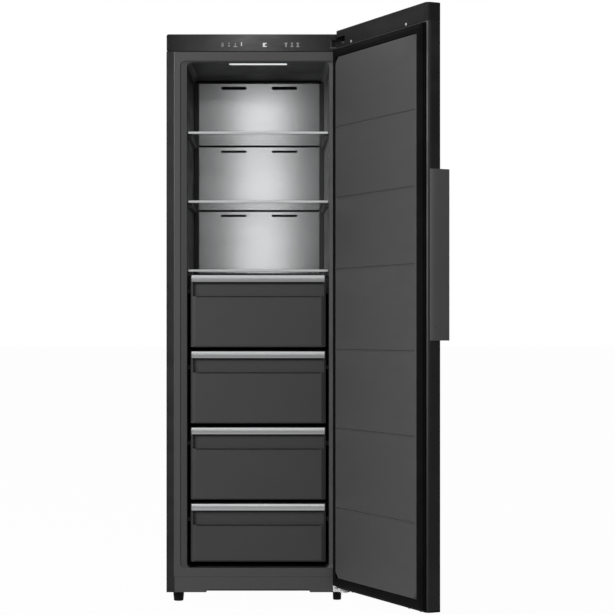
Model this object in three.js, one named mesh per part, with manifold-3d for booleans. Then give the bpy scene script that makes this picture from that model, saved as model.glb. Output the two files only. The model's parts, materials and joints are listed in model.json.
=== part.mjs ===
// Upright frost-free freezer with its door standing open: a foamed steel cabinet, three glass
// shelves in front of a metal cooling plate, four drawers, and a right-hinged door.
// Millimetres. X runs to the right, Y runs back from the cabinet's front face, Z runs up from
// the floor. The door's pieces are drawn closed and swung open about the hinge pins at the end.
import * as THREE from 'three';
import { mergeVertices } from 'three/addons/utils/BufferGeometryUtils.js';
import Module from 'manifold-3d';

const wasm = await Module();
wasm.setup();

// ---------------------------------------------------------------- driving dimensions
const WIDTH = 595;                 // cabinet and door
const CASE_DEPTH = 590;            // front face to the back edge of the steel wrapper
const CASE_BOTTOM = 34.8;          // height of the cabinet's underside
const CASE_TOP = 1846.2;
const SHEET = 0.8;                 // steel sheet
const CLEARANCE = 0.3;             // between pieces that touch
const FRONT_STRIP = 25.6;          // width of the wrapper's folded front edge
const PANEL_BOTTOM = 1790;         // lower edge of the control panel
const PANEL_DEPTH = 21.7;

const CAVITY_HALF = 230.5;         // half width of the cold space behind the throat
const CAVITY_BACK = 519;           // its back wall
const CAVITY_FLOOR = 112;
const CAVITY_CEILING = 1754.5;
const LINER_WALL = 2;
const STEP_FRONT = 335;            // the cold space's floor steps up here, over the compressor
const STEP_TOP = 318;
const MACHINE_FRONT = 390;         // compressor space at the bottom of the back
const MACHINE_CEILING = 262;

const SHELF_TOPS = [1531, 1306.5, 1082];
const SHELF_FRONT = 18;
const SHELF_BACK = 428;
const PLATE_FRONT = 430;           // front of the metal cooling plate

const DRAWER_PITCH = 248.2;
const LOWEST_DRAWER_TOP = 321;
const DRAWER_HEIGHT = 235;
const LOW_DRAWER_HEIGHT = 189.5;   // the lowest drawer is cut short by the compressor step
const BIN_BACK = 424;
const LOW_BIN_BACK = 328;

const DOOR_GAP = 16.5;             // door's inner face to the cabinet's front face, closed
const DOOR_THICKNESS = 47;
const DOOR_BOTTOM = 55.4;
const DOOR_TOP = 1850;
const DOOR_ANGLE = 115;            // degrees open, as it stands
const HINGE_X = 277;
const HINGE_Y = -39;
const PIN_RADIUS = 4;

const FOOT_Y = 60;
const ROLLER_RADIUS = 15.5;
const ROLLER_SIDES = 20;
const ROLLER_X = 250;
const ROLLER_Y = 540;

const FAN_Z = 960;
const FAN_RADIUS = 58;

// ---------------------------------------------------------------- finishes
const DARK_STEEL = [0x2c2c2d, 0.4, 0.6];
const BRUSHED = [0xb4b5b6, 0.35, 0.9];
const ZINC = [0xb9bbbd, 0.4, 0.8];
const BARE_ALUMINIUM = [0xc2c4c6, 0.45, 0.8];
const COPPER = [0xb0724a, 0.35, 0.9];
const BLACK_ENAMEL = [0x161617, 0.45, 0.3];
const GREY_LINER = [0x4c4c4d, 0.55, 0];
const DARK_LINER = [0x2e2e2f, 0.5, 0];
const DRAWER_GREY = [0x3c3c3d, 0.5, 0];
const BLACK_PLASTIC = [0x1b1b1c, 0.5, 0];
const BLACK_RUBBER = [0x101011, 0.75, 0];
const ANTHRACITE = [0x4a4a4b, 0.4, 0.7];
const FOAM_YELLOW = [0xd8c68c, 0.9, 0];
const PALE_PLASTIC = [0xd9dadb, 0.5, 0];
const LENS_WHITE = [0xf4f6f7, 0.3, 0];
const CLEAR_GLASS = [0xa9b6b6, 0.05, 0];

// ---------------------------------------------------------------- shape helpers
const rad = (degrees) => degrees * Math.PI / 180;

// Turns a geometry inside out if its faces point inwards.
function outward(geometry) {
  const position = geometry.getAttribute('position');
  const index = geometry.getIndex();
  const corner = (k) => new THREE.Vector3().fromBufferAttribute(position, index ? index.getX(k) : k);
  const count = index ? index.count : position.count;
  let volume = 0;
  for (let k = 0; k < count; k += 3) {
    volume += corner(k).dot(corner(k + 1).cross(corner(k + 2)));
  }
  if (volume > 0) return geometry;
  const flipped = new THREE.BufferGeometry();
  const points = [];
  for (let k = 0; k < count; k += 3) {
    for (const step of [0, 2, 1]) points.push(...corner(k + step).toArray());
  }
  flipped.setAttribute('position', new THREE.Float32BufferAttribute(points, 3));
  return flipped;
}

// A closed geometry with shared corners, as the boolean library takes it.
function solid(geometry) {
  if (geometry.isSolid) return geometry.manifold;
  const bare = geometry.clone();
  bare.deleteAttribute('normal');
  bare.deleteAttribute('uv');
  const merged = mergeVertices(bare, 1e-3);
  return new wasm.Manifold(new wasm.Mesh({
    numProp: 3,
    vertProperties: new Float32Array(merged.getAttribute('position').array),
    triVerts: new Uint32Array(merged.getIndex().array),
  }));
}

function geometryOf(manifold) {
  const mesh = manifold.getMesh();
  const geometry = new THREE.BufferGeometry();
  geometry.setAttribute('position', new THREE.BufferAttribute(new Float32Array(mesh.vertProperties), 3));
  geometry.setIndex(new THREE.BufferAttribute(new Uint32Array(mesh.triVerts), 1));
  return geometry;
}

const cut = (base, ...tools) => geometryOf(
  tools.reduce((left, tool) => left.subtract(solid(tool)), solid(base)));
const join = (base, ...others) => geometryOf(
  others.reduce((whole, other) => whole.add(solid(other)), solid(base)));
const common = (a, b) => geometryOf(solid(a).intersect(solid(b)));

function box([x0, x1], [y0, y1], [z0, z1]) {
  return new THREE.BoxGeometry(x1 - x0, y1 - y0, z1 - z0)
    .translate((x0 + x1) / 2, (y0 + y1) / 2, (z0 + z1) / 2);
}

const shapeOf = (outline) => new THREE.Shape(outline.map(([a, b]) => new THREE.Vector2(a, b)));

// An outline of [x, y] pairs drawn up from z0 to z1.
function alongZ(outline, z0, z1) {
  return outward(new THREE.ExtrudeGeometry(shapeOf(outline), { depth: z1 - z0, bevelEnabled: false })
    .translate(0, 0, z0));
}

// An outline of [x, z] pairs drawn back from y0 to y1.
function alongY(outline, y0, y1) {
  const turn = new THREE.Matrix4().makeBasis(
    new THREE.Vector3(1, 0, 0), new THREE.Vector3(0, 0, 1), new THREE.Vector3(0, -1, 0));
  return outward(new THREE.ExtrudeGeometry(shapeOf(outline), { depth: y1 - y0, bevelEnabled: false })
    .applyMatrix4(turn).translate(0, y1, 0));
}

// An outline of [y, z] pairs drawn across from x0 to x1.
function alongX(outline, x0, x1) {
  const turn = new THREE.Matrix4().makeBasis(
    new THREE.Vector3(0, 1, 0), new THREE.Vector3(0, 0, 1), new THREE.Vector3(1, 0, 0));
  return outward(new THREE.ExtrudeGeometry(shapeOf(outline), { depth: x1 - x0, bevelEnabled: false })
    .applyMatrix4(turn).translate(x0, 0, 0));
}

// A rectangle with rounded corners, anticlockwise, as [a, b] pairs.
function roundedOutline([a0, a1], [b0, b1], radius, steps = 3) {
  const outline = [];
  const centres = [[a1 - radius, b0 + radius, -90], [a1 - radius, b1 - radius, 0],
    [a0 + radius, b1 - radius, 90], [a0 + radius, b0 + radius, 180]];
  for (const [a, b, start] of centres) {
    for (let k = 0; k <= steps; k += 1) {
      const angle = rad(start + 90 * k / steps);
      outline.push([a + radius * Math.cos(angle), b + radius * Math.sin(angle)]);
    }
  }
  return outline;
}

// A rectangle with its corners cut off straight, as [a, b] pairs.
function chamferedOutline([a0, a1], [b0, b1], chamfer) {
  return [[a0 + chamfer, b0], [a1 - chamfer, b0], [a1, b0 + chamfer], [a1, b1 - chamfer],
    [a1 - chamfer, b1], [a0 + chamfer, b1], [a0, b1 - chamfer], [a0, b0 + chamfer]];
}

// A closed skin over rings of equal point counts, flat over the first and the last ring.
function skinOver(rings) {
  const count = rings[0].length;
  const points = rings.flat(2);
  const index = [];
  rings.slice(1).forEach((_, r) => {
    for (let k = 0; k < count; k += 1) {
      const next = (k + 1) % count;
      const [a, b, c, d] = [r * count + k, r * count + next, (r + 1) * count + next, (r + 1) * count + k];
      index.push(a, b, c, a, c, d);
    }
  });
  const last = (rings.length - 1) * count;
  for (let k = 1; k < count - 1; k += 1) {
    index.push(0, k + 1, k, last, last + k, last + k + 1);
  }
  const geometry = new THREE.BufferGeometry();
  geometry.setAttribute('position', new THREE.Float32BufferAttribute(points, 3));
  geometry.setIndex(index);
  return outward(geometry);
}

const standing = (outline, y) => outline.map(([x, z]) => [x, y, z]);
const lying = (outline, z) => outline.map(([x, y]) => [x, y, z]);

// A closed profile of [radius, height] pairs turned about the Z axis.
function turned(profile, sides) {
  const points = profile.map(([radius, height]) => new THREE.Vector2(radius, height));
  return outward(new THREE.LatheGeometry(points, sides).rotateX(Math.PI / 2));
}

function rod(radius, sides, [x, y], [z0, z1]) {
  return turned([[0, z0], [radius, z0], [radius, z1], [0, z1]], sides).translate(x, y, 0);
}

// A route whose steps fall on its listed points, so that straights stay plain and bends are round.
class Route extends THREE.Curve {
  constructor(points) {
    super();
    this.points = points;
  }

  getPoint(t) {
    const along = Math.min(Math.max(t, 0), 1) * (this.points.length - 1);
    const first = Math.min(Math.floor(along), this.points.length - 2);
    return this.points[first].clone().lerp(this.points[first + 1], along - first);
  }

  getPointAt(u) {
    return this.getPoint(u);
  }

  getTangentAt(u) {
    return this.getTangent(u);
  }
}

// The corners of a bent pipe, each rounded to a bend of the given radius.
function bent(corners, radius, steps = 4) {
  const at = corners.map((c) => new THREE.Vector3(...c));
  const route = [at[0]];
  for (let k = 1; k < at.length - 1; k += 1) {
    const into = at[k].clone().sub(at[k - 1]).normalize();
    const out = at[k + 1].clone().sub(at[k]).normalize();
    const setBack = radius * Math.tan(into.angleTo(out) / 2);
    const bend = new THREE.QuadraticBezierCurve3(
      at[k].clone().addScaledVector(into, -setBack), at[k], at[k].clone().addScaledVector(out, setBack));
    for (let s = 0; s <= steps; s += 1) {
      const point = bend.getPoint(s / steps);
      if (point.distanceTo(route[route.length - 1]) > 0.5) route.push(point);
    }
  }
  if (at[at.length - 1].distanceTo(route[route.length - 1]) > 0.5) route.push(at[at.length - 1]);
  return route;
}

function pipe(route, radius, sides = 6) {
  const section = new THREE.Shape();
  for (let k = 0; k < sides; k += 1) {
    const angle = 2 * Math.PI * k / sides;
    const [a, b] = [radius * Math.cos(angle), radius * Math.sin(angle)];
    if (k === 0) section.moveTo(a, b);
    else section.lineTo(a, b);
  }
  section.closePath();
  return outward(new THREE.ExtrudeGeometry(section,
    { steps: route.length - 1, extrudePath: new Route(route), bevelEnabled: false }));
}

const freezer = new THREE.Group();
const doorPieces = new THREE.Group();

function piece(name, geometry, [color, roughness, metalness], parent = freezer) {
  const mesh = new THREE.Mesh(geometry, new THREE.MeshStandardMaterial({ color, roughness, metalness }));
  mesh.name = name;
  parent.add(mesh);
  return mesh;
}

// ---------------------------------------------------------------- cabinet shell
const HALF = WIDTH / 2;
const STRIP_IN = HALF - FRONT_STRIP;
const CASE_CORNER = 6;

// Steel wrapper: two sides and the roof in one sheet, folded in along the front and the back.
function outerCase() {
  const sheet = (inset, bottom) => {
    const outline = roundedOutline([-HALF + inset, HALF - inset],
      [0, CASE_TOP - inset], CASE_CORNER - inset);
    return outline.map(([x, z]) => [x, Math.max(z, bottom)])
      .filter(([x, z], k, all) => k === 0 || x !== all[k - 1][0] || z !== all[k - 1][1]);
  };
  const roofAndSides = cut(
    alongY(sheet(0, CASE_BOTTOM), 0, CASE_DEPTH),
    alongY(sheet(SHEET, CASE_BOTTOM - 5), -1, CASE_DEPTH + 1),
    box([-HALF - 1, HALF + 1], [-1, PANEL_DEPTH + CLEARANCE], [PANEL_BOTTOM, CASE_TOP + 1]));
  const header = join(
    box([-HALF + 0.4, HALF - 0.4], [0, PANEL_DEPTH + CLEARANCE + SHEET], [PANEL_BOTTOM - SHEET, PANEL_BOTTOM]),
    box([-HALF + 0.4, HALF - 0.4],
      [PANEL_DEPTH + CLEARANCE, PANEL_DEPTH + CLEARANCE + SHEET], [PANEL_BOTTOM - SHEET, CASE_TOP - 0.4]));
  const headerTrimmed = common(header, alongY(sheet(0.4, CASE_BOTTOM), -1, CASE_DEPTH));
  const folds = [];
  for (const side of [-1, 1]) {
    const strip = [side * HALF - side * 0.2, side * STRIP_IN].sort((a, b) => a - b);
    const rear = [side * HALF - side * 0.2, side * (HALF - 12)].sort((a, b) => a - b);
    folds.push(box(strip, [0, SHEET], [CASE_BOTTOM, PANEL_BOTTOM - 0.4]));
    folds.push(box(rear, [CASE_DEPTH - SHEET, CASE_DEPTH], [CASE_BOTTOM, CASE_TOP - CASE_CORNER]));
  }
  const rearTop = box([-HALF + 10, HALF - 10], [CASE_DEPTH - SHEET, CASE_DEPTH], [CASE_TOP - 12, CASE_TOP - 0.4]);
  return join(roofAndSides, headerTrimmed, rearTop, ...folds);
}

// Galvanised back sheet with three pressed beads that keep it from drumming.
function rearPanel() {
  const [front, back] = [CASE_DEPTH + CLEARANCE, CASE_DEPTH + CLEARANCE + SHEET];
  const sheet = box([-HALF + 1, HALF - 1], [front, back], [MACHINE_CEILING, CASE_TOP - 1.2]);
  const beads = [620, 1030, 1440].map((z) => skinOver([
    standing(roundedOutline([-230, 230], [z - 9, z + 9], 9), back - 0.4),
    standing(roundedOutline([-227, 227], [z - 6, z + 6], 6), back + 2.5),
  ]));
  return join(sheet, ...beads);
}

// Air goes in under the skirt: the bottom sheet is raised here, behind the skirt's cut-out.
const AIR_PASSAGE = { half: 175, back: 80, top: 37.5 };

// Bottom sheet, bent up and back over the compressor space.
function cabinetBase() {
  const t = 0.9;
  const [front, bottom] = [17, CASE_BOTTOM + CLEARANCE];
  const outline = [[front, bottom], [MACHINE_FRONT + t, bottom], [MACHINE_FRONT + t, MACHINE_CEILING],
    [CASE_DEPTH - SHEET - CLEARANCE, MACHINE_CEILING],
    [CASE_DEPTH - SHEET - CLEARANCE, MACHINE_CEILING + t], [MACHINE_FRONT, MACHINE_CEILING + t],
    [MACHINE_FRONT, bottom + t], [front + t, bottom + t], [front + t, 83.5], [front, 83.5]];
  const sheet = alongX(outline, -HALF + 1.2, HALF - 1.2);
  const { half, back, top } = AIR_PASSAGE;
  const raised = alongX([[front, 83.5], [front, top], [back - t, top], [back - t, bottom], [back, bottom],
    [back, top + t], [front + t, top + t], [front + t, 83.5]], -half - t, half + t);
  const cheeks = [-1, 1].map((side) => box([side * half, side * (half + t)].sort((a, b) => a - b),
    [front, back], [bottom, top + t]));
  const opened = cut(sheet, box([-half, half], [front - 1, back], [bottom - 1, 90]),
    ...[-1, 1].map((side) => rod(7, 12, [footX(side), footY(side)], [20, 60])));
  return join(opened, raised, ...cheeks);
}

// Cross tray that carries the compressor and the rear rollers.
function compressorTray() {
  const t = 1.5;
  const z = CASE_BOTTOM + CLEARANCE;
  const [front, back] = [MACHINE_FRONT + 5, CASE_DEPTH - 3];
  const outline = [[front, z], [back, z], [back, z + 38], [back - t, z + 38], [back - t, z + t],
    [front + t, z + t], [front + t, z + 16], [front, z + 16]];
  const tray = alongX(outline, -HALF + 1.2, HALF - 1.2);
  const glandHole = new THREE.CylinderGeometry(9, 9, 12, 12).translate(205, back, z + 23);
  return cut(tray, glandHole);
}

// The cold space: a rectangular funnel at the throat, then long walls that draw in a little.
function coldSpace(grow, front) {
  const ring = (half, floor, ceiling, radius, y) => standing(
    roundedOutline([-half - grow, half + grow], [floor - grow, ceiling + grow], radius + grow, 3), y);
  return skinOver([
    ring(253.4, 113.7, 1760.8, 16, front),
    ring(253.4, 113.7, 1760.8, 16, 0.5 + grow),
    ring(250.5, 113.4, 1758.4, 16, 3.5 + grow),
    ring(CAVITY_HALF + 1, 112.6, CAVITY_CEILING + 1, 14, 8 + grow),
    ring(CAVITY_HALF, CAVITY_FLOOR, CAVITY_CEILING, 14, 12 + grow),
    ring(CAVITY_HALF - 5.5, CAVITY_FLOOR + 2, CAVITY_CEILING - 2.5, 20, CAVITY_BACK + grow),
  ]);
}

function steppedColdSpace(grow, front) {
  return cut(coldSpace(grow, front),
    box([-HALF, HALF], [STEP_FRONT + grow, CASE_DEPTH], [0, STEP_TOP - grow]));
}

const drawerTop = (n) => LOWEST_DRAWER_TOP + DRAWER_PITCH * (4 - n);
const drawerHeight = (n) => (n === 4 ? LOW_DRAWER_HEIGHT : DRAWER_HEIGHT);
const binBack = (n) => (n === 4 ? LOW_BIN_BACK : BIN_BACK);
const rimTop = (n) => drawerTop(n) - 44;
const RIM_THICKNESS = 3;

// Moulded inner box: flat front flange, bevelled throat, shelf ledges and drawer rails.
function innerLiner() {
  const flange = alongY(roundedOutline([-STRIP_IN + CLEARANCE, STRIP_IN - CLEARANCE], [84.8, 1788.9], 3, 1),
    0.5, 0.5 + LINER_WALL);
  const outside = steppedColdSpace(LINER_WALL, 0.6);
  const ledges = [];
  const addLedge = (inner, top, height, y0, y1) => {
    for (const side of [-1, 1]) {
      const outline = [[inner, top], [CAVITY_HALF + 6, top], [CAVITY_HALF + 6, top - height - 6],
        [inner + 4, top - height], [inner, top - height + 4]].map(([x, z]) => [side * x, z]);
      ledges.push(common(alongY(outline, y0, y1), outside));
    }
  };
  for (const top of SHELF_TOPS) addLedge(216, top - 4.4, 12, 36, 414);
  for (const n of [1, 2, 3, 4]) {
    addLedge(207.5, rimTop(n) - RIM_THICKNESS - CLEARANCE, 9, 50, binBack(n) + 4);
  }
  return join(cut(join(flange, outside), steppedColdSpace(0, -1)), ...ledges);
}

const CONDENSER_BAND = { y: [70, 530], z: [340, 1690] };

// Polyurethane foam that fills the space between the steel and the liner.
function insulationFoam() {
  const outline = roundedOutline([-HALF + 1.1, HALF - 1.1], [CASE_BOTTOM + 1.6, CASE_TOP - 1.2], 5.5);
  const block = alongY(outline, 1.1, CASE_DEPTH - SHEET - CLEARANCE);
  const passage = AIR_PASSAGE.half + 1.2;
  const pockets = [
    box([-HALF, HALF], [-1, PANEL_DEPTH + SHEET + 2 * CLEARANCE],
      [PANEL_BOTTOM - SHEET - CLEARANCE, CASE_TOP]),
    box([-STRIP_IN, STRIP_IN], [-1, 0.5 + LINER_WALL + CLEARANCE], [84.5, 1789.2]),
    box([-HALF, HALF], [-1, 18.2], [0, 84.5]),
    box([-passage, passage], [0, AIR_PASSAGE.back + 0.3], [0, AIR_PASSAGE.top + 1.2]),
    box([-HALF, HALF], [MACHINE_FRONT - CLEARANCE, CASE_DEPTH], [0, MACHINE_CEILING + 1.2]),
    steppedColdSpace(LINER_WALL + CLEARANCE, 0.4),
  ];
  for (const side of [-1, 1]) {
    const face = [side * (HALF - 8), side * HALF].sort((a, b) => a - b);
    pockets.push(box(face, CONDENSER_BAND.y, CONDENSER_BAND.z));
    pockets.push(rod(9, 8, [footX(side), footY(side)], [20, 76]));
  }
  return cut(block, ...pockets);
}

// Serpentine condenser pipe behind a side wall, which gives the heat off through the steel.
function condenser(side) {
  const x = side * (HALF - 4.4);
  const [y0, y1] = [CONDENSER_BAND.y[0] + 15, CONDENSER_BAND.y[1] - 15];
  const [z0, z1] = [CONDENSER_BAND.z[0] + 10, CONDENSER_BAND.z[1] - 10];
  const passes = 6;
  const corners = [];
  for (let k = 0; k < passes; k += 1) {
    const y = y0 + (y1 - y0) * k / (passes - 1);
    corners.push(...(k % 2 ? [[x, y, z1], [x, y, z0]] : [[x, y, z0], [x, y, z1]]));
  }
  return pipe(bent(corners, 30, 3), 2.5);
}

// Dark front band over the opening, cut through at the right for the upper hinge.
const HINGE_POCKET = { x: [237, 292], z: [1803, 1826] };

function controlPanel() {
  const face = (inset) => roundedOutline([-HALF + 0.3 + inset, HALF - 0.3 - inset],
    [PANEL_BOTTOM + CLEARANCE + inset, CASE_TOP - inset], CASE_CORNER - inset);
  const housing = skinOver([standing(face(1), 0), standing(face(0), 1), standing(face(0), PANEL_DEPTH)]);
  return cut(housing, box(HINGE_POCKET.x, [-1, PANEL_DEPTH + 1], HINGE_POCKET.z));
}

// Skirt between the feet: its lower edge is raised in the middle.
function toePanel() {
  const [left, right, low, high] = [-STRIP_IN + CLEARANCE, STRIP_IN - CLEARANCE, CASE_BOTTOM, 84.2];
  const outline = [[left, low], [-168.5, low], [-164.5, low + 8.5], [164.5, low + 8.5], [168.5, low],
    [right, low], [right, high], [left, high]];
  const front = alongY(outline, 0.5, 3.3);
  const topLip = box([left, right], [1, 15], [high - 2.5, high]);
  const ribs = [-220, -90, 0, 90, 220].map((x) => box([x - 1.2, x + 1.2], [3, 14], [48, high - 1]));
  return join(front, topLip, ...ribs);
}

function ceilingLight() {
  const outline = (inset) => roundedOutline([-94 + inset, 94 - inset], [18 + inset, 42 - inset], 5 - inset);
  return skinOver([lying(outline(1), CAVITY_CEILING - 2.6), lying(outline(0), CAVITY_CEILING - 1.8),
    lying(outline(0), CAVITY_CEILING - 0.9)]);
}

// ---------------------------------------------------------------- cold air system
const SLOT_ROWS = [[1728, 11], [1507, 7.5], [1283.5, 7.5]];
const SLOT_X = 88.4;
const SLOT_WIDTH = 89;

function airSlots(grow, y0, y1) {
  return SLOT_ROWS.flatMap(([z, height]) => [-SLOT_X, SLOT_X].map((x) => {
    const [w, h] = [SLOT_WIDTH / 2 + grow, height / 2 + grow];
    return alongY(roundedOutline([x - w, x + w], [z - h, z + h], h - 0.05, 2), y0, y1);
  }));
}

// Brushed steel plate that stores cold behind the shelves, with two air slots to a shelf.
function coolingPlate() {
  const plate = box([-209.5, 209.5], [PLATE_FRONT, PLATE_FRONT + 1], [1083.5, 1743]);
  return cut(plate, ...airSlots(0, PLATE_FRONT - 1, PLATE_FRONT + 2));
}

// Cover over the evaporator: a tray open to the back, slotted for the air out and back in.
function airDuctCover() {
  const [front, back] = [PLATE_FRONT + 1 + CLEARANCE, CAVITY_BACK - 3];
  const [low, high] = [STEP_TOP + 3, 1749];
  const outer = alongY(roundedOutline([-221, 221], [low, high], 20, 2), front, back);
  const inner = alongY(roundedOutline([-218, 218], [low + 3, high - 3], 17, 2), front + 3, back + 1);
  const returns = [-3, -2, -1, 0, 1, 2, 3].map((k) => box([k * 52 - 20, k * 52 + 20],
    [front - 1, front + 4], [low + 12, low + 20]));
  return cut(outer, inner, ...airSlots(1, front - 1, front + 5), ...returns);
}

const COIL = { half: 176, y: [455, 493], rows: 3, bottom: 600, rise: 62, fins: 8 };

// Evaporator: one pipe folded to and fro through upright aluminium fins.
function evaporatorCoil() {
  const corners = [];
  for (const [column, y] of COIL.y.entries()) {
    for (let k = 0; k < COIL.rows; k += 1) {
      const row = column ? COIL.rows - 1 - k : k;
      const z = COIL.bottom + COIL.rise * (row + 0.5);
      const end = COIL.half + 22;
      const leftFirst = (column * COIL.rows + k) % 2 === 0;
      corners.push([leftFirst ? -end : end, y, z], [leftFirst ? end : -end, y, z]);
    }
  }
  const tube = pipe(bent(corners, 17, 3), 4.5);
  const fins = [];
  for (let k = 0; k < COIL.fins; k += 1) {
    const x = -COIL.half + 2 * COIL.half * k / (COIL.fins - 1);
    fins.push(box([x - 0.5, x + 0.5], [COIL.y[0] - 10, COIL.y[1] + 10],
      [COIL.bottom, COIL.bottom + COIL.rise * COIL.rows]));
  }
  return join(tube, ...fins);
}

function defrostHeater() {
  const [y, low, high] = [474, 556, 580];
  return pipe(bent([[-190, y, high], [190, y, high], [190, y, low], [-190, y, low]], 11, 3), 3.5);
}

const SHROUD_Y = 470;

// Plate with a rolled nozzle round the fan, on four short posts behind the duct cover.
function fanShroud() {
  const plate = alongY(roundedOutline([-95, 95], [FAN_Z - 90, FAN_Z + 90], 12, 2), SHROUD_Y - 3, SHROUD_Y);
  const tube = (radius, y0, y1) => new THREE.CylinderGeometry(radius, radius, y1 - y0, 24)
    .translate(0, (y0 + y1) / 2, FAN_Z);
  const posts = [[-84, -78], [84, -78], [-84, 78], [84, 78]].map(([x, z]) => new THREE.CylinderGeometry(
    4, 5, 33, 8).translate(x, SHROUD_Y - 18.9, FAN_Z + z));
  return cut(join(plate, tube(FAN_RADIUS + 7, SHROUD_Y - 18, SHROUD_Y - 1), ...posts),
    tube(FAN_RADIUS + 4, SHROUD_Y - 19, SHROUD_Y + 1));
}

// Motor can on three arms that reach out to the shroud.
function fanMotor() {
  const about = (geometry) => geometry.translate(0, 0, FAN_Z);
  const can = about(turned([[0, 0], [24, 0], [27, 4], [27, 22], [22, 26], [0, 26]], 16)
    .rotateX(-Math.PI / 2).translate(0, SHROUD_Y + 10, 0));
  const arms = [90, 210, 330].map((angle) => {
    const reach = join(box([20, 80], [SHROUD_Y + 14, SHROUD_Y + 18], [-5, 5]),
      box([74, 80], [SHROUD_Y + CLEARANCE, SHROUD_Y + 18], [-5, 5]));
    return about(reach.rotateY(-rad(angle)));
  });
  const bore = new THREE.CylinderGeometry(3.4, 3.4, 20, 10).translate(0, SHROUD_Y + 12, FAN_Z);
  return cut(join(can, ...arms), bore);
}

// Five blades on a hub, each twisted from root to tip, with a short motor shaft.
function fanWheel() {
  const stations = [[12, 46, 20], [34, 34, 30], [FAN_RADIUS, 24, 38]];
  const blade = () => skinOver(stations.map(([radius, pitch, chord]) => {
    const [across, along] = [Math.cos(rad(pitch)) * chord / 2, Math.sin(rad(pitch)) * chord / 2];
    const upper = [[-across, -along], [0, 2.4], [across, along]];
    const lower = [...upper].reverse().map(([x, y]) => [x, y - 1.6]);
    return [...upper, ...lower].map(([x, y]) => [x, y, radius]);
  }));
  const blades = [0, 1, 2, 3, 4].map((k) => blade().rotateY(2 * Math.PI * k / 5));
  const hub = turned([[0, -11], [15, -11], [18, -8], [18, 10], [0, 10]], 20).rotateX(-Math.PI / 2);
  const shaft = new THREE.CylinderGeometry(3, 3, 20, 10).translate(0, 12, 0);
  return join(hub, shaft, ...blades);
}

// ---------------------------------------------------------------- machine compartment
const COMPRESSOR = { x: -95, y: 487, floor: CASE_BOTTOM + CLEARANCE + 1.5 };

// Welded shell with a seam flange, on a pressed base plate with four rubber grommets.
function compressorUnit() {
  const bottom = COMPRESSOR.floor + 14;
  const shell = turned([[0, bottom], [42, bottom], [60, bottom + 10], [67, bottom + 28], [68, bottom + 78],
    [72, bottom + 78], [72, bottom + 83], [68, bottom + 83], [66, bottom + 128], [56, bottom + 152],
    [34, bottom + 166], [0, bottom + 170]], 20).scale(1.22, 1, 1);
  const plate = alongZ(roundedOutline([-98, 98], [-62, 62], 14, 2), COMPRESSOR.floor + 10, COMPRESSOR.floor + 14.5);
  const grommets = [[-84, -48], [84, -48], [-84, 48], [84, 48]].map((at) => rod(
    9, 10, at, [COMPRESSOR.floor + CLEARANCE, COMPRESSOR.floor + 18]));
  return join(shell, plate, ...grommets).translate(COMPRESSOR.x, COMPRESSOR.y, 0);
}

// Electrical box clipped on the compressor's right-hand end.
function terminalBox() {
  const [x, z] = [COMPRESSOR.x + 90, COMPRESSOR.floor + 40];
  const outline = roundedOutline([x, x + 38], [COMPRESSOR.y - 30, COMPRESSOR.y + 30], 6, 2);
  return skinOver([lying(outline, z), lying(outline, z + 62),
    lying(outline.map(([a, b]) => [a * 0.9 + (x + 19) * 0.1, b * 0.9 + COMPRESSOR.y * 0.1]), z + 66)]);
}

// Tray over the warm compressor, where the defrost water dries off.
function drainTray() {
  const [low, high] = [COMPRESSOR.floor + 14 + 171, MACHINE_CEILING - 6];
  const ring = (half, deep, z) => lying(roundedOutline(
    [COMPRESSOR.x - half, COMPRESSOR.x + half], [COMPRESSOR.y - deep, COMPRESSOR.y + deep], 16, 3), z);
  return skinOver([ring(92, 66, low), ring(100, 74, high), ring(98, 72, high), ring(90.3, 64.3, low + 2)]);
}

// Drier with domed ends, in the line between the condenser and the capillary.
function filterDryer() {
  return turned([[0, 84], [3, 84], [3, 92], [11, 100], [11, 190], [3, 200], [3, 210], [0, 210]], 12)
    .translate(130, 440, 0);
}

function dischargePipe() {
  const z = COMPRESSOR.floor + 130;
  return pipe(bent([[COMPRESSOR.x - 20, COMPRESSOR.y - 71, z], [COMPRESSOR.x - 20, 402, z],
    [-225, 402, z], [-225, 402, MACHINE_CEILING - CLEARANCE]], 7), 2.5);
}

function suctionPipe() {
  const z = COMPRESSOR.floor + 118;
  return pipe(bent([[COMPRESSOR.x + 40, COMPRESSOR.y - 66, z], [COMPRESSOR.x + 40, 404, z],
    [60, 404, z], [60, 404, MACHINE_CEILING - CLEARANCE]], 8), 3.5);
}

// Rubber gland in the tray's rear edge.
function cordGland() {
  const z = CASE_BOTTOM + CLEARANCE + 23;
  return turned([[4, -4], [11, -4], [11, -1.05], [8.4, -1.05], [8.4, 1.05], [11, 1.05], [9, 7], [4, 7], [4, -4]], 12)
    .rotateX(-Math.PI / 2).translate(205, CASE_DEPTH - 3.75, z);
}

// ---------------------------------------------------------------- hinges, feet, rollers
const ARM_TOP_Z = 1811;

// Steel arm bolted behind the control panel, with the pin that hangs down into the door.
function upperHingeBracket() {
  const tab = box([240, 289.5], [PANEL_DEPTH - 5, PANEL_DEPTH], [HINGE_POCKET.z[0] + 0.6, HINGE_POCKET.z[1] - 0.6]);
  const arm = alongZ([[HINGE_X - 8, PANEL_DEPTH - 2], [HINGE_X - 8, HINGE_Y], ...halfRound(8),
    [HINGE_X + 8, HINGE_Y], [HINGE_X + 8, PANEL_DEPTH - 2]], ARM_TOP_Z, ARM_TOP_Z + 5);
  const pin = rod(PIN_RADIUS, 16, [HINGE_X, HINGE_Y], [1786, ARM_TOP_Z + 2]);
  return join(tab, arm, pin);
}

// The round front end of a hinge arm, from its left side to its right side.
function halfRound(radius) {
  return [30, 60, 90, 120, 150].map((angle) => [
    HINGE_X - radius * Math.cos(rad(angle)), HINGE_Y - radius * Math.sin(rad(angle))]);
}

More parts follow.
